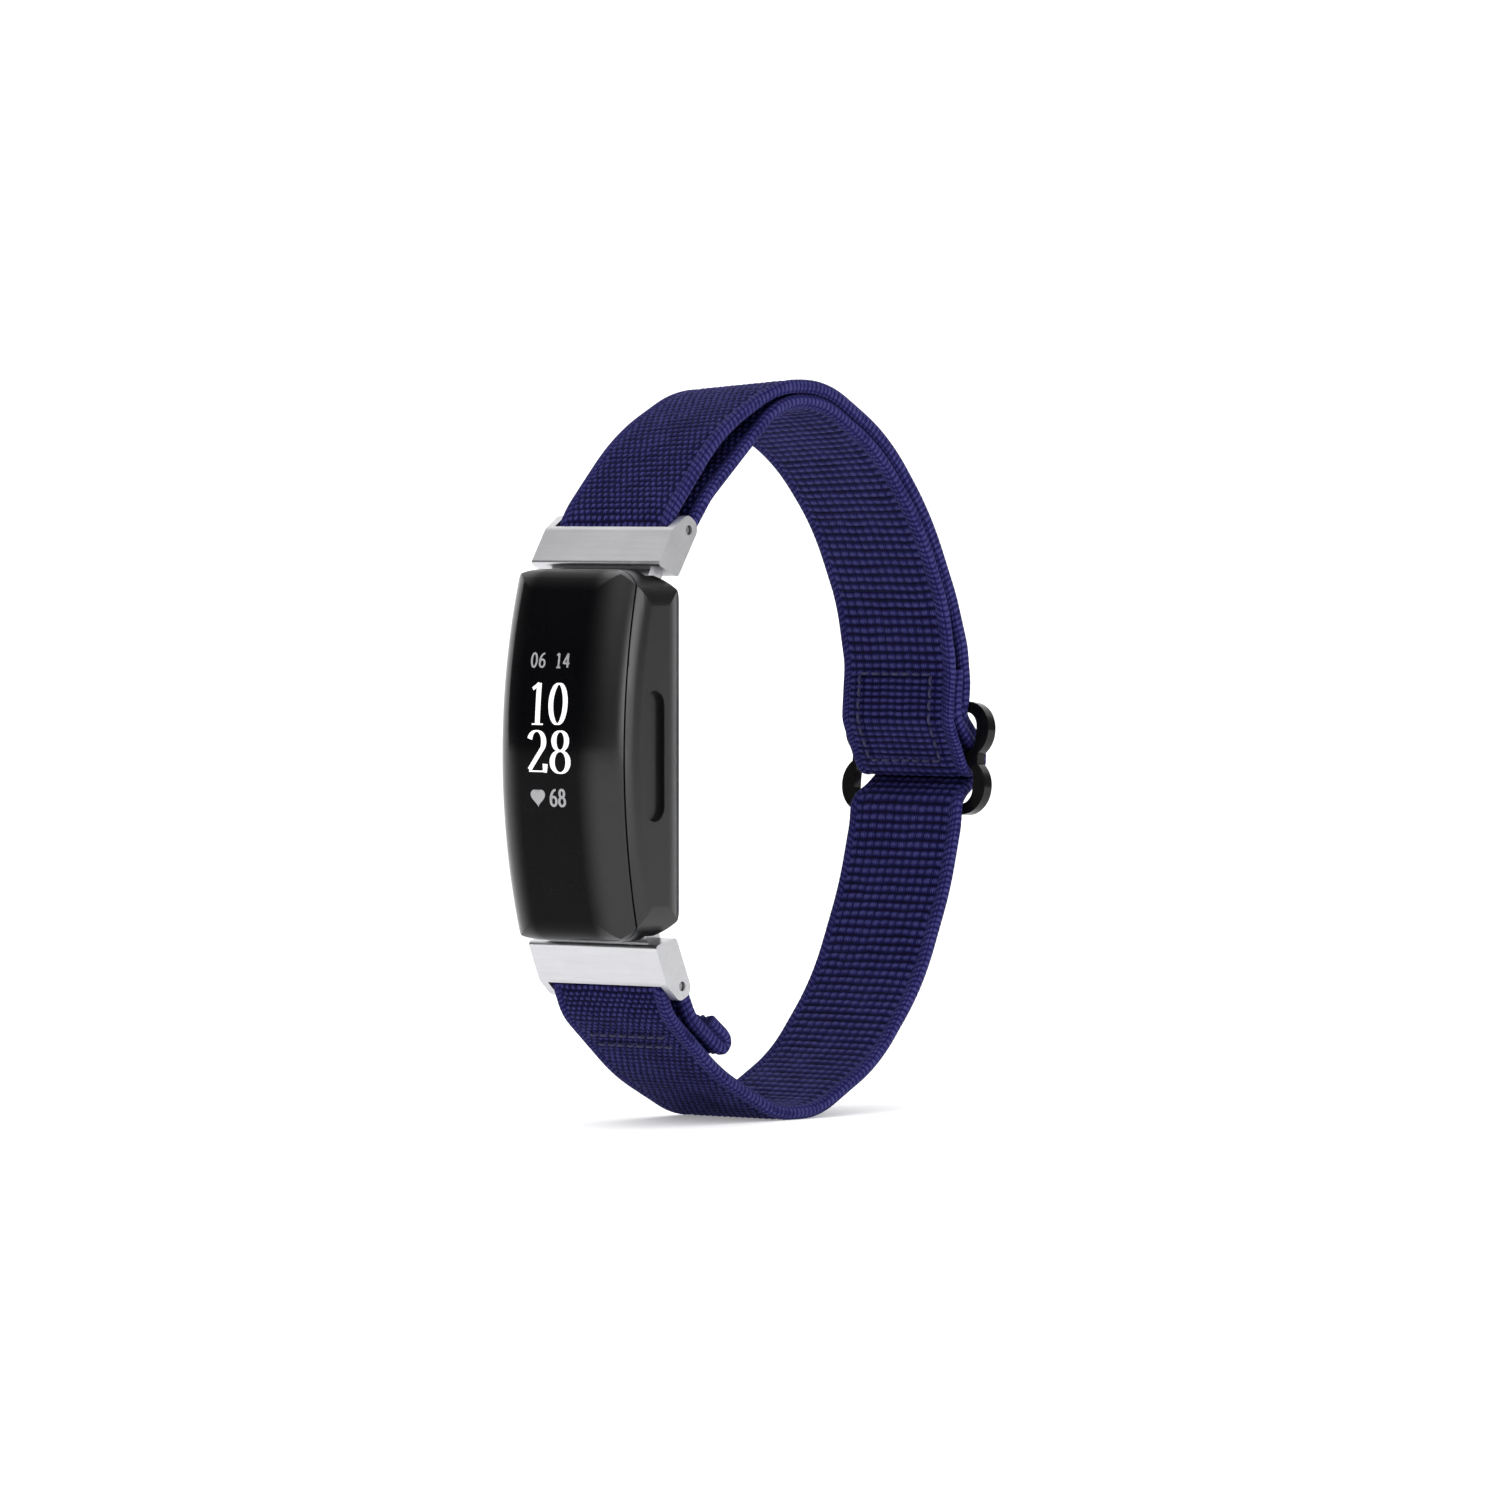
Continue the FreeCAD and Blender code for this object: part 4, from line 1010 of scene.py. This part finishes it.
def add_display():
    """A lit clock face: a small line of figures, two lines of time, and a pulse reading."""
    lens = NODES["front_lens"].data
    corners = [vertex.co.copy() for vertex in lens.vertices]
    tree = BVHTree.FromPolygons(corners, [tuple(polygon.vertices) for polygon in lens.polygons])
    bright = glow_material("lit_white", (0.80, 0.80, 0.80), 0.70)
    grey = glow_material("lit_grey", (0.30, 0.30, 0.31), 0.42)
    time = [slab for line in TIME for slab in write_figures(tree, line)]
    display_piece("display_time", time, bright)
    small = [slab for line in READINGS for slab in write_figures(tree, line)]
    small.append(heart_slab(tree, *HEART))
    display_piece("display_readings", small, grey)


# ---------------------------------------------------------------- light, floor and camera


AZIMUTH = math.radians(40.0)
ELEVATION = math.radians(1.5)
CAMERA_DISTANCE = 1.0
FRAME_WIDTH = 0.1493
SENSOR_MM = 36.0
# Where the camera aims, from the tracker's middle, as shares of the frame's width.
AIM_RIGHT = 0.1063
AIM_UP = 0.0033
FLOOR_REACH = 2.4
WALL_FROM = 0.9
WALL_BEND = 0.5
BEND_STEPS = 16
# Each glow: azimuth counted like the camera's, elevation, strength and how tight it is.
GLOWS = [
    (90, 4, 6.0, 26),
    (50, 36, 0.8, 5),
    (5, 76, 1.8, 4),
    (215, 66, 0.6, 4),
]
SURROUND = 0.11


def toward(azimuth, elevation):
    """The direction of an azimuth, counted from -Y towards +X, and an elevation."""
    level = math.cos(elevation)
    return Vector((math.sin(azimuth) * level, -math.cos(azimuth) * level, math.sin(elevation)))


def view_axes():
    """The camera's backward, right and upward directions."""
    back = toward(AZIMUTH, ELEVATION)
    right = Vector((math.cos(AZIMUTH), math.sin(AZIMUTH), 0.0))
    return back, right, back.cross(right)


def add_camera():
    """A long lens; the tracker sits left of and just under the middle of the frame."""
    back, right, up = view_axes()
    data = bpy.data.cameras.new("camera")
    data.sensor_width = SENSOR_MM
    data.lens = SENSOR_MM * CAMERA_DISTANCE / FRAME_WIDTH
    data.clip_start = 0.05
    data.clip_end = 20.0
    camera = bpy.data.objects.new("camera", data)
    bpy.context.scene.collection.objects.link(camera)
    aim = TRACKER + right * FRAME_WIDTH * AIM_RIGHT + up * FRAME_WIDTH * AIM_UP
    camera.location = aim + back * CAMERA_DISTANCE
    camera.rotation_euler = (aim - camera.location).to_track_quat("-Z", "Y").to_euler()
    bpy.context.scene.camera = camera


def add_floor():
    """A pale floor that curves up into a wall behind the object."""
    back, right, _ = view_axes()
    ahead = Vector((-back.x, -back.y, 0.0)).normalized()
    profile = [(-FLOOR_REACH, 0.0), (WALL_FROM, 0.0)]
    for step in range(1, BEND_STEPS + 1):
        angle = math.pi / 2 * step / BEND_STEPS
        height = WALL_BEND - WALL_BEND * math.cos(angle)
        profile.append((WALL_FROM + WALL_BEND * math.sin(angle), height))
    profile.append((WALL_FROM + WALL_BEND, FLOOR_REACH))
    points, faces = [], []
    for reach, height in profile:
        for side in (-FLOOR_REACH, FLOOR_REACH):
            points.append(tuple(ahead * reach + right * side + Vector((0, 0, height))))
    for index in range(len(profile) - 1):
        start = 2 * index
        faces.append((start, start + 1, start + 3, start + 2))
    floor = make_mesh("floor", points, faces)
    graph = Graph("pale_floor")
    tone = graph.ramp(graph.noise(3.0, 2.0), [(0.3, (0.90, 0.90, 0.90)), (0.8, (0.94, 0.94, 0.94))])
    graph.shader.inputs["Emission Strength"].default_value = 0.28
    graph.shader.inputs["Emission Color"].default_value = (1.0, 1.0, 1.0, 1.0)
    floor.data.materials.append(graph.set(Base_Color=tone, Roughness=0.9))


def add_world():
    """A smooth white studio: broad soft glows in a dim surround, and no hard-edged lamps."""
    world = bpy.data.worlds.new("studio")
    world.use_nodes = True
    nodes = Nodes(world.node_tree)
    background = nodes.tree.nodes["Background"]
    place = nodes.add("ShaderNodeTexCoord").outputs["Generated"]
    total = SURROUND
    for azimuth, elevation, strength, tightness in GLOWS:
        aim = toward(math.radians(azimuth), math.radians(elevation))
        facing = nodes.add("ShaderNodeVectorMath", {0: place, 1: aim}, operation="DOT_PRODUCT")
        positive = nodes.math("MAXIMUM", facing.outputs["Value"], 0.0)
        total = nodes.math("MULTIPLY_ADD", nodes.math("POWER", positive, tightness), strength, total)
    nodes.feed(background.inputs["Strength"], total)
    nodes.feed(background.inputs["Color"], (1.0, 1.0, 1.0, 1.0))
    bpy.context.scene.world = world


bpy.context.scene.view_settings.view_transform = "Standard"
dress_cad_nodes()
add_band()
add_stitches()
add_display()
add_floor()
add_camera()
add_world()

bpy.context.view_layer.update()
